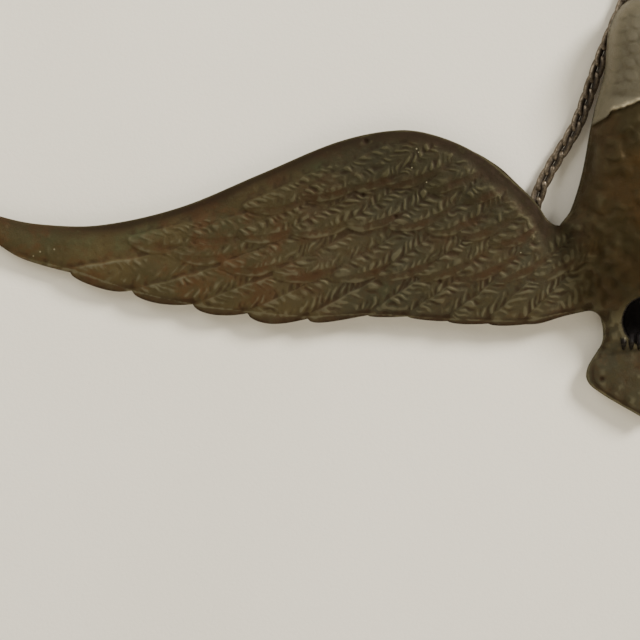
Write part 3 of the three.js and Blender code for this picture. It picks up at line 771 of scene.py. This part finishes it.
def lay_tints(relief):
    """Where the patina is greyer, warmer or greener, and where painted shade darkens it, seen on the wing on
    -X and mirrored.
    """
    x, z, band = relief.x, relief.z, relief.band
    out = np.abs(x)
    inboard = ease(290, 230, out)
    patchy = 0.5 + 0.5 * noise(x, z, 14, 41)
    tail = ease(-165, -180, z)
    body = ease(38, 18, out + 0.15 * (z + 140)) * ease(-178, -160, z + 3 * noise(x, z, 8, 42))
    body = np.maximum(body, 0.65 * ease(-130, -120, z) * ease(44, 38, out))
    grey = ease(205, 120, out) * (1 - body) * (0.55 + 0.45 * patchy)
    # Painted shade: darkens the upper wing, the middle of its span, the body, the wing beside the body and
    # the leading band
    upper = ease(0.62, 0.2, wing_chord(out, z)) * (1 - body) * (1 - tail)
    middle = bell(out, 105, 72)
    shade = upper * (0.5 + 0.5 * middle) + 0.42 * middle * (1 - upper) * (1 - tail)
    shade = np.maximum(shade, np.maximum(0.95 * body, 0.75 * ease(46, 26, out) * (1 - 0.8 * tail)))
    shade = np.maximum(shade, band * (0.4 + 0.4 * inboard + 0.2 * ease(150, 100, out)))
    relief.body = body
    relief.grey = np.maximum(grey, 0.8 * tail)
    # More painted shade right along the top edge of the leading band, inboard of the tip
    relief.shade = np.clip(shade, 0, 1) + 0.8 * band * ease(3.2, 1, relief.inside) * inboard
    relief.rust *= 1 - 0.45 * ease(240, 285, out)
    relief.warm = bell(np.hypot((x + 4) / 16, (z + 112) / 14), 0, 1) * (0.4 + 0.6 * patchy)
    relief.warm += 0.45 * body * ease(0.45, 0.8, patchy) * ease(-160, -140, z)
    relief.green = np.zeros(x.shape)
    for place_x, place_z, radius, share in PATINA_SPOTS:
        away = np.hypot(x - place_x, (z - place_z) * 1.3) * (1 + 0.3 * noise(x, z, 3, 43))
        relief.green = np.maximum(relief.green, share * bell(away, 0, radius))


def carve():
    """All of the front, from the wings to the last casting flaws."""
    relief = Relief()
    lay_plain_wings(relief)
    lay_tail(relief)
    lay_body(relief)
    plain = relief.height.copy()
    lay_wing_feathers(relief)
    lay_body_feathers(relief)
    wear(relief)
    shape_collar(relief)
    shape_eye(relief)
    shape_hollow(relief)
    x, z = relief.x, relief.z
    worn = 0.07 * noise(x, z, 1.5, 31) + 0.09 * noise(x, z, 2.8, 34) + 0.12 * noise(x, z, 5, 32)
    worn = worn * (1 - 0.65 * relief.band) + 0.3 * noise(x, z, 16, 33)
    relief.carving += worn * (1 - relief.dark)
    relief.height += relief.carving
    detail = np.clip(relief.height - plain, -CAVITY_LIMIT, CAVITY_LIMIT)
    relief.cavity = relief.blur(detail, CAVITY_RADIUS) - detail
    relief.cavity *= 1 - 0.2 * ease(150, 230, np.abs(x))
    relief.height -= CASTING_EDGE * edge_drop(relief.inside, CASTING_EDGE)
    relief.back = back_height(x, z)
    relief.height = np.maximum(relief.height, relief.back + LEAST_SHEET)
    relief.height = np.minimum(relief.height, -cad_box[0][1] / MM - FRONT_PLAY)
    lay_tints(relief)
    return relief


def cut_out(relief):
    """Vertices and triangles of the closed casting: front, back and the walls along the outline."""
    inside = relief.inside
    within = inside > 0
    points = [np.stack([relief.x[within], relief.z[within], relief.height[within], relief.back[within]], -1)]
    corner = np.full(inside.shape, -1)
    corner[within] = np.arange(within.sum())
    count = int(within.sum())
    crossing = []
    for axis in (1, 0):
        first = [slice(None), slice(None)]
        second = [slice(None), slice(None)]
        first[axis], second[axis] = slice(None, -1), slice(1, None)
        first, second = tuple(first), tuple(second)
        crossed = within[first] != within[second]
        share = inside[first] / (inside[first] - inside[second] + 1e-12)
        share = np.clip(share, *CROSSING_SHARES)[crossed]
        x = relief.x[first][crossed] + share * (relief.x[second] - relief.x[first])[crossed]
        z = relief.z[first][crossed] + share * (relief.z[second] - relief.z[first])[crossed]
        start = within[first][crossed]
        height = np.where(start, relief.height[first][crossed], relief.height[second][crossed])
        back = np.where(start, relief.back[first][crossed], relief.back[second][crossed])
        numbers = np.full(crossed.shape, -1)
        numbers[crossed] = count + np.arange(crossed.sum())
        count += int(crossed.sum())
        crossing.append(numbers)
        points.append(np.stack([x, z, height - OUTLINE_DROP, back], -1))
    points = np.concatenate(points)
    across, upward = crossing

    names = [
        corner[:-1, :-1], corner[:-1, 1:], corner[1:, 1:], corner[1:, :-1],
        across[:-1, :], upward[:, 1:], across[1:, :], upward[:, :-1],
    ]
    case = sum((names[k] >= 0).astype(int) << k for k in range(4))
    triangles, walls = [], []
    whole = case == 15
    a, b, c, d = (names[k][whole] for k in range(4))
    surface = relief.height
    first_diagonal = np.abs(surface[:-1, :-1] - surface[1:, 1:])[whole]
    second_diagonal = np.abs(surface[:-1, 1:] - surface[1:, :-1])[whole]
    rising = (first_diagonal < second_diagonal)[:, None]
    triangles.append(np.where(rising, np.stack([a, b, c], -1), np.stack([a, b, d], -1)))
    triangles.append(np.where(rising, np.stack([a, c, d], -1), np.stack([b, c, d], -1)))
    for number in range(1, 15):
        cells = case == number
        if not cells.any():
            continue
        corners = [bool(number >> k & 1) for k in range(4)]
        if number in (5, 10):
            rings = [[k, 4 + k, 4 + (k + 3) % 4] for k in range(4) if corners[k]]
        else:
            rings = [[]]
            for k in range(4):
                rings[0] += [k] if corners[k] else []
                rings[0] += [4 + k] if corners[k] != corners[(k + 1) % 4] else []
        for ring in rings:
            named = [names[k][cells] for k in ring]
            for k in range(1, len(ring) - 1):
                triangles.append(np.stack([named[0], named[k], named[k + 1]], -1))
            for k, name in enumerate(ring):
                following = (k + 1) % len(ring)
                if name > 3 and ring[following] > 3:
                    walls.append(np.stack([named[k], named[following]], -1))
    front = np.concatenate(triangles)
    edges = np.concatenate(walls)
    back = front[:, ::-1] + count
    sides = np.concatenate([
        np.stack([edges[:, 1], edges[:, 0], edges[:, 0] + count], -1),
        np.stack([edges[:, 1], edges[:, 0] + count, edges[:, 1] + count], -1),
    ])
    front_points = np.stack([points[:, 0], -points[:, 2], points[:, 1]], -1)
    back_points = np.stack([points[:, 0], -points[:, 3], points[:, 1]], -1)
    return np.concatenate([front_points, back_points]) * MM, np.concatenate([front, back, sides])


def make_object(name, vertices, faces):
    """A new object at the origin from vertices in metres and triangles or quads."""
    mesh = bpy.data.meshes.new(name)
    vertices = np.asarray(vertices, dtype=np.float32)
    faces = np.asarray(faces, dtype=np.int32)
    sides = faces.shape[1]
    mesh.vertices.add(len(vertices))
    mesh.vertices.foreach_set("co", vertices.ravel())
    mesh.loops.add(faces.size)
    mesh.loops.foreach_set("vertex_index", faces.ravel())
    mesh.polygons.add(len(faces))
    mesh.polygons.foreach_set("loop_start", np.arange(0, faces.size, sides, dtype=np.int32))
    mesh.update(calc_edges=True)
    mesh.validate()
    made = bpy.data.objects.new(name, mesh)
    bpy.context.scene.collection.objects.link(made)
    return made


def apply_modifiers(target):
    """Puts the mesh that the modifiers give in place of the object's own."""
    graph = bpy.context.evaluated_depsgraph_get()
    mesh = bpy.data.meshes.new_from_object(target.evaluated_get(graph))
    target.modifiers.clear()
    old = target.data
    target.data = mesh
    bpy.data.meshes.remove(old)


def unite(target, other, operation="UNION"):
    """Joins another closed object into the target, or cuts it out."""
    cut = target.modifiers.new("unite", "BOOLEAN")
    cut.operation = operation
    cut.solver = "MANIFOLD"
    cut.object = other
    apply_modifiers(target)
    mesh = other.data
    bpy.data.objects.remove(other)
    bpy.data.meshes.remove(mesh)


def loft(name, rings):
    """Rings of points, in millimetres, closed at both ends with a fan."""
    rings = np.array(rings)
    levels, count, _ = rings.shape
    faces = []
    for i in range(levels - 1):
        for j in range(count):
            a, b = i * count + j, i * count + (j + 1) % count
            faces += [(a, b, b + count), (a, b + count, a + count)]
    ends = [rings[0].mean(0), rings[-1].mean(0)]
    first, last = levels * count, levels * count + 1
    for j in range(count):
        following = (j + 1) % count
        faces.append((first, following, j))
        faces.append((last, (levels - 1) * count + j, (levels - 1) * count + following))
    vertices = np.concatenate([rings.reshape(-1, 3), ends]) * MM
    faces = np.array(faces)
    a, b, c = (vertices[faces[:, k]] for k in range(3))
    if (a * np.cross(b, c)).sum() < 0:
        faces = faces[:, ::-1]
    return make_object(name, vertices, faces)


def follow(rows, steps):
    """Rows of values drawn out into a smooth run of more rows."""
    rows = np.array(rows, dtype=float)
    curves = [through(list(zip(range(len(rows)), column))) for column in rows.T]
    return [[float(curve(place)) for curve in curves] for place in np.linspace(0, len(rows) - 1, steps)]


def make_beak():
    """The hooked beak, with the line of its mouth pressed in."""
    rings = []
    for number, (x, z, high, thick) in enumerate(follow(BEAK_RINGS, BEAK_STEPS)):
        ring = []
        for angle in turns(ROUND_SIDES):
            up, front = math.cos(angle), -math.sin(angle)
            mouth = 1 - MOUTH_DEPTH * bell(up, MOUTH_PLACE, MOUTH_WIDTH) * ease(*MOUTH_ROWS, number)
            depth = BEAK_DEPTH + mouth * thick * front
            ring.append((x + BEAK_LEAN * high * up, -depth, z + mouth * high * up))
        rings.append(ring)
    return loft("beak", rings)


def make_claw(side, place):
    rings = []
    for z, height, radius in follow(CLAW_RINGS, CLAW_STEPS):
        ring = []
        for a in turns(CLAW_SIDES):
            x = side * (place + radius * math.cos(a))
            ring.append((x, -height + radius * math.sin(a), z + CLAW_LEAN * radius * math.sin(a)))
        rings.append(ring)
    return loft("claw", rings)


def make_lug(side):
    """A small plate behind the root of a wing, with a hole for the jump ring."""
    x = side * LUG_OUT
    near, far = x - LUG_THICK / 2, x + LUG_THICK / 2
    corners = [(near, -LUG_DEPTH), (far, -LUG_DEPTH), (far, 0), (near, 0)]
    heights = (LUG_Z - LUG_HALF_HEIGHT, LUG_Z + LUG_HALF_HEIGHT)
    lug = loft("lug", [[(*corner, z) for corner in corners] for z in heights])
    circle = [(CHAIN_Y + LUG_HOLE * math.cos(a), LUG_Z + LUG_HOLE * math.sin(a)) for a in turns(ROUND_SIDES)]
    ends = (x - 2 * LUG_THICK, x + 2 * LUG_THICK)
    unite(lug, loft("hole", [[(end, *point) for point in circle] for end in ends]), "DIFFERENCE")
    return lug


def sample(relief, layer, x, z):
    """Values of a layer of the relief at points between its grid points."""
    column = np.clip((x - relief.columns[0]) / GRID_STEP, 0, len(relief.columns) - 1.001)
    row = np.clip((z - relief.rows[0]) / GRID_STEP, 0, len(relief.rows) - 1.001)
    j, i = column.astype(int), row.astype(int)
    fj, fi = column - j, row - i
    values = getattr(relief, layer)
    near = values[i, j] * (1 - fj) + values[i, j + 1] * fj
    far = values[i + 1, j] * (1 - fj) + values[i + 1, j + 1] * fj
    return near * (1 - fi) + far * fi


TINT_LAYERS = (
    "cavity", "copper", "rust", "grey", "shade", "warm", "body", "green", "pale", "lit_edge", "lip", "dark",
)


def write_layer(mesh, name, values):
    attribute = mesh.attributes.new(name, "FLOAT", "POINT")
    attribute.data.foreach_set("value", np.asarray(values, dtype=np.float32))


def make_eagle(relief):
    """The whole casting, with the layers that its patina reads."""
    vertices, triangles = cut_out(relief)
    eagle = make_object("eagle_casting", vertices, triangles)
    for made in [make_beak()] + [make_claw(side, x) for side in (-1, 1) for x in CLAW_PLACES]:
        unite(eagle, made)
    for side in (-1, 1):
        unite(eagle, make_lug(side))
    thin = eagle.modifiers.new("thin", "DECIMATE")
    faces = sum(len(polygon.vertices) - 2 for polygon in eagle.data.polygons)
    thin.ratio = min(1, EAGLE_TRIANGLES / faces)
    apply_modifiers(eagle)

    mesh = eagle.data
    places = np.empty(len(mesh.vertices) * 3, dtype=np.float32)
    mesh.vertices.foreach_get("co", places)
    x, y, z = places.reshape(-1, 3).T / MM
    height, back = sample(relief, "height", x, z), sample(relief, "back", x, z)
    depth = height + y
    share = (-y - back) / np.maximum(height - back, 0.1)
    front = np.maximum(ease(1.6, 0.6, depth), ease(0.1, 0.35, share) * (height > back))
    for layer in TINT_LAYERS:
        write_layer(mesh, layer, sample(relief, layer, x, z) * front)
    on_claws = (np.abs(x) < CLAW_REACH) & (z > CLAW_HEIGHTS[0]) & (z < CLAW_HEIGHTS[1])
    on_beak = (x > BEAK_START) & (z > BEAK_LOW) & (y < -BEAK_BACK)
    write_layer(mesh, "front", front)
    write_layer(mesh, "claw", ease(-0.4, -1.2, depth) * on_claws)
    write_layer(mesh, "horn", ease(-0.6, -1.2, depth) * on_beak)
    mesh.shade_smooth()
    mesh.set_sharp_from_angle(angle=math.radians(SMOOTH_ANGLE))
    return eagle


def closed_tube(name, centres, outward, wide, thick):
    """A tube round a closed line of points, flattened: wide along the outward way and thick across it."""
    centres = np.array(centres)
    tangents = np.roll(centres, -1, 0) - np.roll(centres, 1, 0)
    tangents /= np.linalg.norm(tangents, axis=1)[:, None]
    outward = np.array(outward)
    outward = outward - (outward * tangents).sum(1)[:, None] * tangents
    outward /= np.linalg.norm(outward, axis=1)[:, None]
    over = np.cross(tangents, outward)
    count, sides = len(centres), TUBE_SIDES
    vertices, faces = [], []
    for i in range(count):
        here, following = i * sides, (i + 1) % count * sides
        for j in range(sides):
            angle = 2 * math.pi * j / sides
            wide_part, thick_part = outward[i] * wide * math.cos(angle), over[i] * thick * math.sin(angle)
            vertices.append(centres[i] + wide_part + thick_part)
            beside = (j + 1) % sides
            faces.append((here + j, here + beside, following + beside, following + j))
    made = make_object(name, np.array(vertices) * MM, faces)
    # Grime and painted shade on the faces of the wire that turn into the link
    inward = ease(0.25, -0.5, np.cos(2 * math.pi * np.arange(sides) / sides))
    write_layer(made.data, "inward", np.tile(inward, count))
    made.data.flip_normals()
    made.data.shade_smooth()
    return made


def dress_chain(piece, node):
    piece.data.materials.append(chain_material)
    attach(piece, "root")
    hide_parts(node)


def make_ring(name, node, radius, wire, x, z):
    outward = [(math.cos(a), 0, math.sin(a)) for a in turns(RING_STEPS)]
    centres = [(x + radius * ox, CHAIN_Y, z + radius * oz) for ox, _, oz in outward]
    dress_chain(closed_tube(name, centres, outward, wire / 2, wire / 2), node)


def squared(value):
    """A sine or cosine drawn out, so that a round loop becomes a squarer one."""
    return math.copysign(abs(value) ** LINK_SQUARENESS, value)


def make_link(name, node, place, direction, half_length, low_twist, high_twist):
    """One link of curb chain: a long loop of flattened wire, its ends twisted across each other."""
    turn = math.atan2(direction[0], direction[1])
    centres, outward = [], []
    for angle in turns(LINK_STEPS):
        share = (1 + math.cos(angle)) / 2
        twist = math.radians(low_twist + (high_twist - low_twist) * share)
        across = LINK_HALF_WIDTH * squared(math.sin(angle))
        side, up = across * math.cos(twist), half_length * squared(math.cos(angle))
        offset = np.array([
            side * math.cos(turn) + up * math.sin(turn),
            -across * math.sin(twist),
            -side * math.sin(turn) + up * math.cos(turn),
        ])
        centres.append(np.array([place[0], CHAIN_Y, place[1]]) + offset)
        outward.append(offset)
    dress_chain(closed_tube(name, centres, outward, LINK_WIDE / 2, LINK_THICK / 2), node)


def make_chain(name, side):
    """The jump ring and the links of one side, from the lug up to the hanging ring."""
    lug = np.array([side * LUG_OUT, LUG_Z])
    line = np.array([0, HANGING_Z]) - lug
    length = float(np.linalg.norm(line))
    direction = line / length
    inward = -side * np.array([direction[1], -direction[0]])
    first = 2 * RING_RADIUS - (RING_WIRE + LINK_WIRE) / 2 - PLAY
    last = length - (HANGING_RADIUS - LINK_WIRE - PLAY)
    overlap = LINK_WIRE + PLAY
    pitch = (last - first - overlap) / LINKS_A_SIDE
    half_length = (pitch + LINK_LAP) / 2
    make_ring(f"jump_ring_{name}", f"ring_{name}", RING_RADIUS, RING_WIRE, *(lug + direction * RING_RADIUS))

    def joint(number):
        reach = first + overlap / 2 + number * pitch
        return lug + direction * reach + inward * float(chain_stray(reach / length))

    for i in range(LINKS_A_SIDE):
        low, high = joint(i), joint(i + 1)
        low_twist = -END_TWIST if i == 0 else -LINK_TWIST
        high_twist = END_TWIST if i == LINKS_A_SIDE - 1 else LINK_TWIST
        node = f"link_{name}_{i + 1:02d}"
        make_link(f"curb_{node}", node, (low + high) / 2, high - low, half_length, low_twist, high_twist)


class Shader:
    """A material's node tree, written as short expressions."""

    def __init__(self, name):
        self.material = bpy.data.materials.new(name)
        self.material.use_nodes = True
        self.tree = self.material.node_tree
        self.shader = self.tree.nodes["Principled BSDF"]
        self.output = self.tree.nodes["Material Output"]
        self.place = self.node("ShaderNodeTexCoord").outputs["Object"]

    def node(self, kind, **settings):
        made = self.tree.nodes.new(kind)
        for key, value in settings.items():
            setattr(made, key, value)
        return made

    def link(self, value, socket):
        if isinstance(value, bpy.types.NodeSocket):
            self.tree.links.new(value, socket)
        else:
            socket.default_value = value

    def math(self, operation, a, b):
        made = self.node("ShaderNodeMath", operation=operation)
        for value, socket in zip((a, b), made.inputs):
            self.link(value, socket)
        return made.outputs[0]

    def times(self, a, b):
        return self.math("MULTIPLY", a, b)

    def ramp(self, value, low, high, start=0.0, end=1.0):
        made = self.node("ShaderNodeMapRange", interpolation_type="SMOOTHSTEP")
        for socket, given in zip(made.inputs, (value, low, high, start, end)):
            self.link(given, socket)
        return made.outputs[0]

    def noise(self, scale, detail, roughness=0.6):
        made = self.node("ShaderNodeTexNoise")
        self.link(self.place, made.inputs["Vector"])
        made.inputs["Scale"].default_value = scale
        made.inputs["Detail"].default_value = detail
        made.inputs["Roughness"].default_value = roughness
        return made.outputs["Fac"]

    def layer(self, name):
        return self.node("ShaderNodeAttribute", attribute_name=name).outputs["Fac"]

    def spots(self, places):
        """1 on small round spots given as x, z and radius in millimetres, and 0 elsewhere."""
        flat = self.node("ShaderNodeVectorMath", operation="MULTIPLY")
        self.link(self.place, flat.inputs[0])
        flat.inputs[1].default_value = (1 / MM, 0, 1 / MM)
        total = 0.0
        for x, z, radius in places:
            away = self.node("ShaderNodeVectorMath", operation="DISTANCE")
            self.link(flat.outputs[0], away.inputs[0])
            away.inputs[1].default_value = (x, 0, z)
            total = self.math("MAXIMUM", total, self.ramp(away.outputs["Value"], 1.3 * radius, 0.4 * radius))
        return total

    def mix(self, share, a, b, blend="MIX"):
        made = self.node("ShaderNodeMix", data_type="RGBA", blend_type=blend)
        self.link(share, made.inputs[0])
        self.link(a, made.inputs[6])
        self.link(b, made.inputs[7])
        return made.outputs[2]

    def bump(self, height, distance, strength):
        made = self.node("ShaderNodeBump")
        made.inputs["Strength"].default_value = strength
        made.inputs["Distance"].default_value = distance
        self.link(height, made.inputs["Height"])
        return made.outputs[0]


def paint(red, green, blue):
    """A colour given as the eye reads it, 0 to 255, turned into the linear values that shaders use."""
    linear = [(value / 255) ** 2.2 for value in (red, green, blue)]
    return (*linear, 1.0)


def make_casting_material():
    s = Shader("aged_brass_patina")
    broad = s.noise(22, 2)
    patches = s.noise(75, 4, 0.65)
    mottle = s.noise(260, 5, 0.7)
    fine = s.noise(1100, 4, 0.7)
    grain = s.noise(3200, 3, 0.6)
    cavity = s.layer("cavity")

    body, rust = s.layer("body"), s.layer("rust")
    tint = s.mix(s.ramp(broad, 0.38, 0.62), paint(71, 63, 41), paint(80, 69, 44))
    tint = s.mix(s.ramp(patches, 0.44, 0.62), tint, paint(80, 60, 38))
    for layer, texture, run, colour in (
        (s.layer("grey"), mottle, (0.35, 0.6, 0.6, 1.0), paint(66, 62, 47)),
        (s.layer("green"), mottle, (0.4, 0.6, 0.35, 1.0), paint(70, 79, 55)),
        (s.layer("copper"), patches, (0.35, 0.6, 0.25, 0.75), paint(73, 51, 32)),
        (rust, mottle, (0.3, 0.65, 0.95, 0.6), paint(56, 41, 26)),
    ):
        tint = s.mix(s.times(layer, s.ramp(texture, *run)), tint, colour)

    worn = s.math("SUBTRACT", 1.0, s.times(body, 0.5))
    for texture, run, colour in (
        (cavity, (-0.02, -0.16, 0.0, 0.62), paint(102, 96, 74)),
        (cavity, (0.02, 0.17, 0.0, 0.58), paint(50, 34, 20)),
        (mottle, (0.58, 0.72, 0.0, 0.28), paint(98, 92, 70)),
        (fine, (0.6, 0.74, 0.0, 0.45), paint(40, 30, 19)),
    ):
        tint = s.mix(s.times(s.ramp(texture, *run), worn), tint, colour)

    body_tint = s.mix(s.ramp(patches, 0.4, 0.62), paint(63, 53, 28), paint(68, 55, 29))
    tint = s.mix(s.times(body, 0.75), tint, body_tint)
    # Painted shade, multiplied into the colour
    tint = s.mix(s.layer("shade"), tint, paint(186, 184, 164), "MULTIPLY")
    # warm is the patina's own tint and pale the head's own colour; the last is a painted highlight along the
    # collar
    for layer, run, colour in (
        ("warm", (0.35, 0.6, 0.3, 0.75), paint(70, 49, 21)),
        ("pale", (0.3, 0.6, 0.7, 0.95), paint(103, 97, 80)),
        ("lit_edge", (0.35, 0.55, 0.5, 0.95), paint(184, 170, 136)),
    ):
        tint = s.mix(s.times(s.layer(layer), s.ramp(mottle, *run)), tint, colour)

    horn_tint = s.mix(s.ramp(mottle, 0.35, 0.65), paint(76, 63, 38), paint(54, 43, 26))
    back = s.mix(s.ramp(patches, 0.4, 0.6), paint(46, 37, 24), paint(62, 50, 32))
    # A faint painted highlight on the hollow's lip, painted glints on the wing, dark claws, the beak, and
    # the hollow near-black with dark patina and painted shade
    for share, colour in (
        (s.times(s.layer("lip"), 0.15), paint(96, 86, 62)),
        (s.spots(PAINTED_GLINTS), paint(132, 124, 98)),
        (s.times(s.layer("claw"), 0.95), paint(24, 19, 13)),
        (s.layer("horn"), horn_tint),
        (s.layer("dark"), paint(24, 20, 18)),
    ):
        tint = s.mix(share, tint, colour)
    s.link(s.mix(s.layer("front"), back, tint), s.shader.inputs["Base Color"])
    s.shader.inputs["Metallic"].default_value = 0.55
    s.shader.inputs["Specular IOR Level"].default_value = 0.25
    rough = s.ramp(mottle, 0.35, 0.7, 0.42, 0.6)
    rough = s.math("ADD", rough, s.ramp(cavity, 0.0, 0.3, 0.0, 0.2))
    s.link(s.math("ADD", rough, s.times(rust, 0.2)), s.shader.inputs["Roughness"])
    relief = s.math("ADD", s.times(fine, 0.7), s.times(grain, 0.3))
    s.link(s.bump(relief, 0.0005, 0.5), s.shader.inputs["Normal"])
    return s.material


def make_chain_material():
    s = Shader("rubbed_chain_brass")
    mottle = s.noise(600, 4, 0.65)
    fine = s.noise(2600, 3, 0.6)
    base = s.mix(s.ramp(mottle, 0.4, 0.62), paint(118, 106, 89), paint(84, 73, 58))
    aged = s.mix(s.ramp(fine, 0.5, 0.68, 0.0, 0.7), base, paint(50, 40, 28))
    # Grime and painted shade on the inner faces of the links
    grime_and_painted_shade = s.mix(s.times(s.layer("inward"), 0.9), aged, paint(34, 26, 17))
    s.link(grime_and_painted_shade, s.shader.inputs["Base Color"])
    s.shader.inputs["Metallic"].default_value = 0.7
    s.link(s.ramp(mottle, 0.35, 0.7, 0.3, 0.5), s.shader.inputs["Roughness"])
    s.link(s.bump(fine, 0.0002, 0.5), s.shader.inputs["Normal"])
    return s.material


def make_stage_material(name, colours, grain, roughness):
    """Wall paint or floor, seen only from the room's side, so that the back of the plaque shows too."""
    s = Shader(name)
    s.link(s.mix(s.ramp(s.noise(grain, 2), 0.3, 0.7), *colours), s.shader.inputs["Base Color"])
    s.shader.inputs["Roughness"].default_value = roughness
    s.link(s.bump(s.noise(700, 3), 0.0004, 0.3), s.shader.inputs["Normal"])
    behind = s.node("ShaderNodeNewGeometry").outputs["Backfacing"]
    for_light = s.node("ShaderNodeLightPath").outputs["Is Shadow Ray"]
    see_through = s.node("ShaderNodeBsdfTransparent")
    choice = s.node("ShaderNodeMixShader")
    s.link(s.math("MAXIMUM", behind, for_light), choice.inputs[0])
    s.link(s.shader.outputs[0], choice.inputs[1])
    s.link(see_through.outputs[0], choice.inputs[2])
    s.link(choice.outputs[0], s.output.inputs["Surface"])
    return s.material


WALL_PAINT = (paint(238, 230, 210), paint(242, 234, 215))
FLOOR_PAINT = (paint(214, 210, 202), paint(222, 218, 210))
WALL_HALF = 1.6
WALL_TOP = 1.2
WALL_Y = 0.0006
FLOOR_Z = -0.75
FLOOR_HALF = 4
SQUARE = ((-1, -1), (1, -1), (1, 1), (-1, 1))


def make_stage():
    upright = [(a * WALL_HALF, WALL_Y, FLOOR_Z if b < 0 else WALL_TOP) for a, b in SQUARE]
    level = [(a * FLOOR_HALF, b * FLOOR_HALF, FLOOR_Z) for a, b in SQUARE]
    for name, corners, material in (
        ("wall", upright, make_stage_material("wall_paint", WALL_PAINT, 6, 0.9)),
        ("floor", level, make_stage_material("pale_floor", FLOOR_PAINT, 3, 0.85)),
    ):
        piece = make_object(name, corners, [(0, 1, 2, 3)])
        piece.data.materials.append(material)


def add_light(name, place, target, size, power, colour):
    data = bpy.data.lights.new(name, "AREA")
    data.shape = "DISK"
    data.size = size
    data.energy = power
    data.color = colour
    light = bpy.data.objects.new(name, data)
    light.location = place
    way = np.array(target) - np.array(place)
    tilt = math.acos(-way[2] / np.linalg.norm(way))
    light.rotation_euler = (tilt, 0, math.atan2(way[1], way[0]) - math.pi / 2)
    light.visible_camera = False
    bpy.context.scene.collection.objects.link(light)


def make_lights():
    add_light("key", (1.7, -1.5, 1.4), (-0.1, 0, -0.15), 0.9, 123, (1.0, 0.985, 0.955))
    add_light("fill", (-0.65, -0.7, 0.4), (-0.3, 0, -0.1), 0.7, 5, (1.0, 0.99, 0.96))
    add_light("behind", (0.3, 1.3, 0.6), (0, 0, -0.15), 1.2, 14, (1.0, 0.99, 0.97))
    world = bpy.data.worlds.new("soft_room")
    world.use_nodes = True
    background = world.node_tree.nodes["Background"]
    background.inputs["Color"].default_value = (1.0, 0.99, 0.97, 1.0)
    background.inputs["Strength"].default_value = 0.2
    bpy.context.scene.world = world


LENS = 300
SENSOR = 36
FRAME_WIDTH = 0.2977
FRAME_CENTRE = (-0.1512, -0.1730)
WING_PLANE_Y = -0.010


def make_camera():
    """A long lens square to the wall, whose picture is FRAME_WIDTH metres wide at the wings."""
    data = bpy.data.cameras.new("camera")
    data.lens = LENS
    data.sensor_width = SENSOR
    data.clip_start = 0.02
    camera = bpy.data.objects.new("camera", data)
    distance = FRAME_WIDTH * LENS / SENSOR
    camera.location = (FRAME_CENTRE[0], WING_PLANE_Y - distance, FRAME_CENTRE[1])
    camera.rotation_euler = (math.pi / 2, 0, 0)
    bpy.context.scene.collection.objects.link(camera)
    bpy.context.scene.camera = camera


make_camera()
make_lights()
make_stage()
chain_material = make_chain_material()
eagle = make_eagle(carve())
eagle.data.materials.clear()
eagle.data.materials.append(make_casting_material())
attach(eagle, "root")
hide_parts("eagle")
make_chain("left", -1)
make_chain("right", 1)
make_ring("nail_ring", "hanging_ring", HANGING_RADIUS, LINK_WIRE, 0, HANGING_Z)
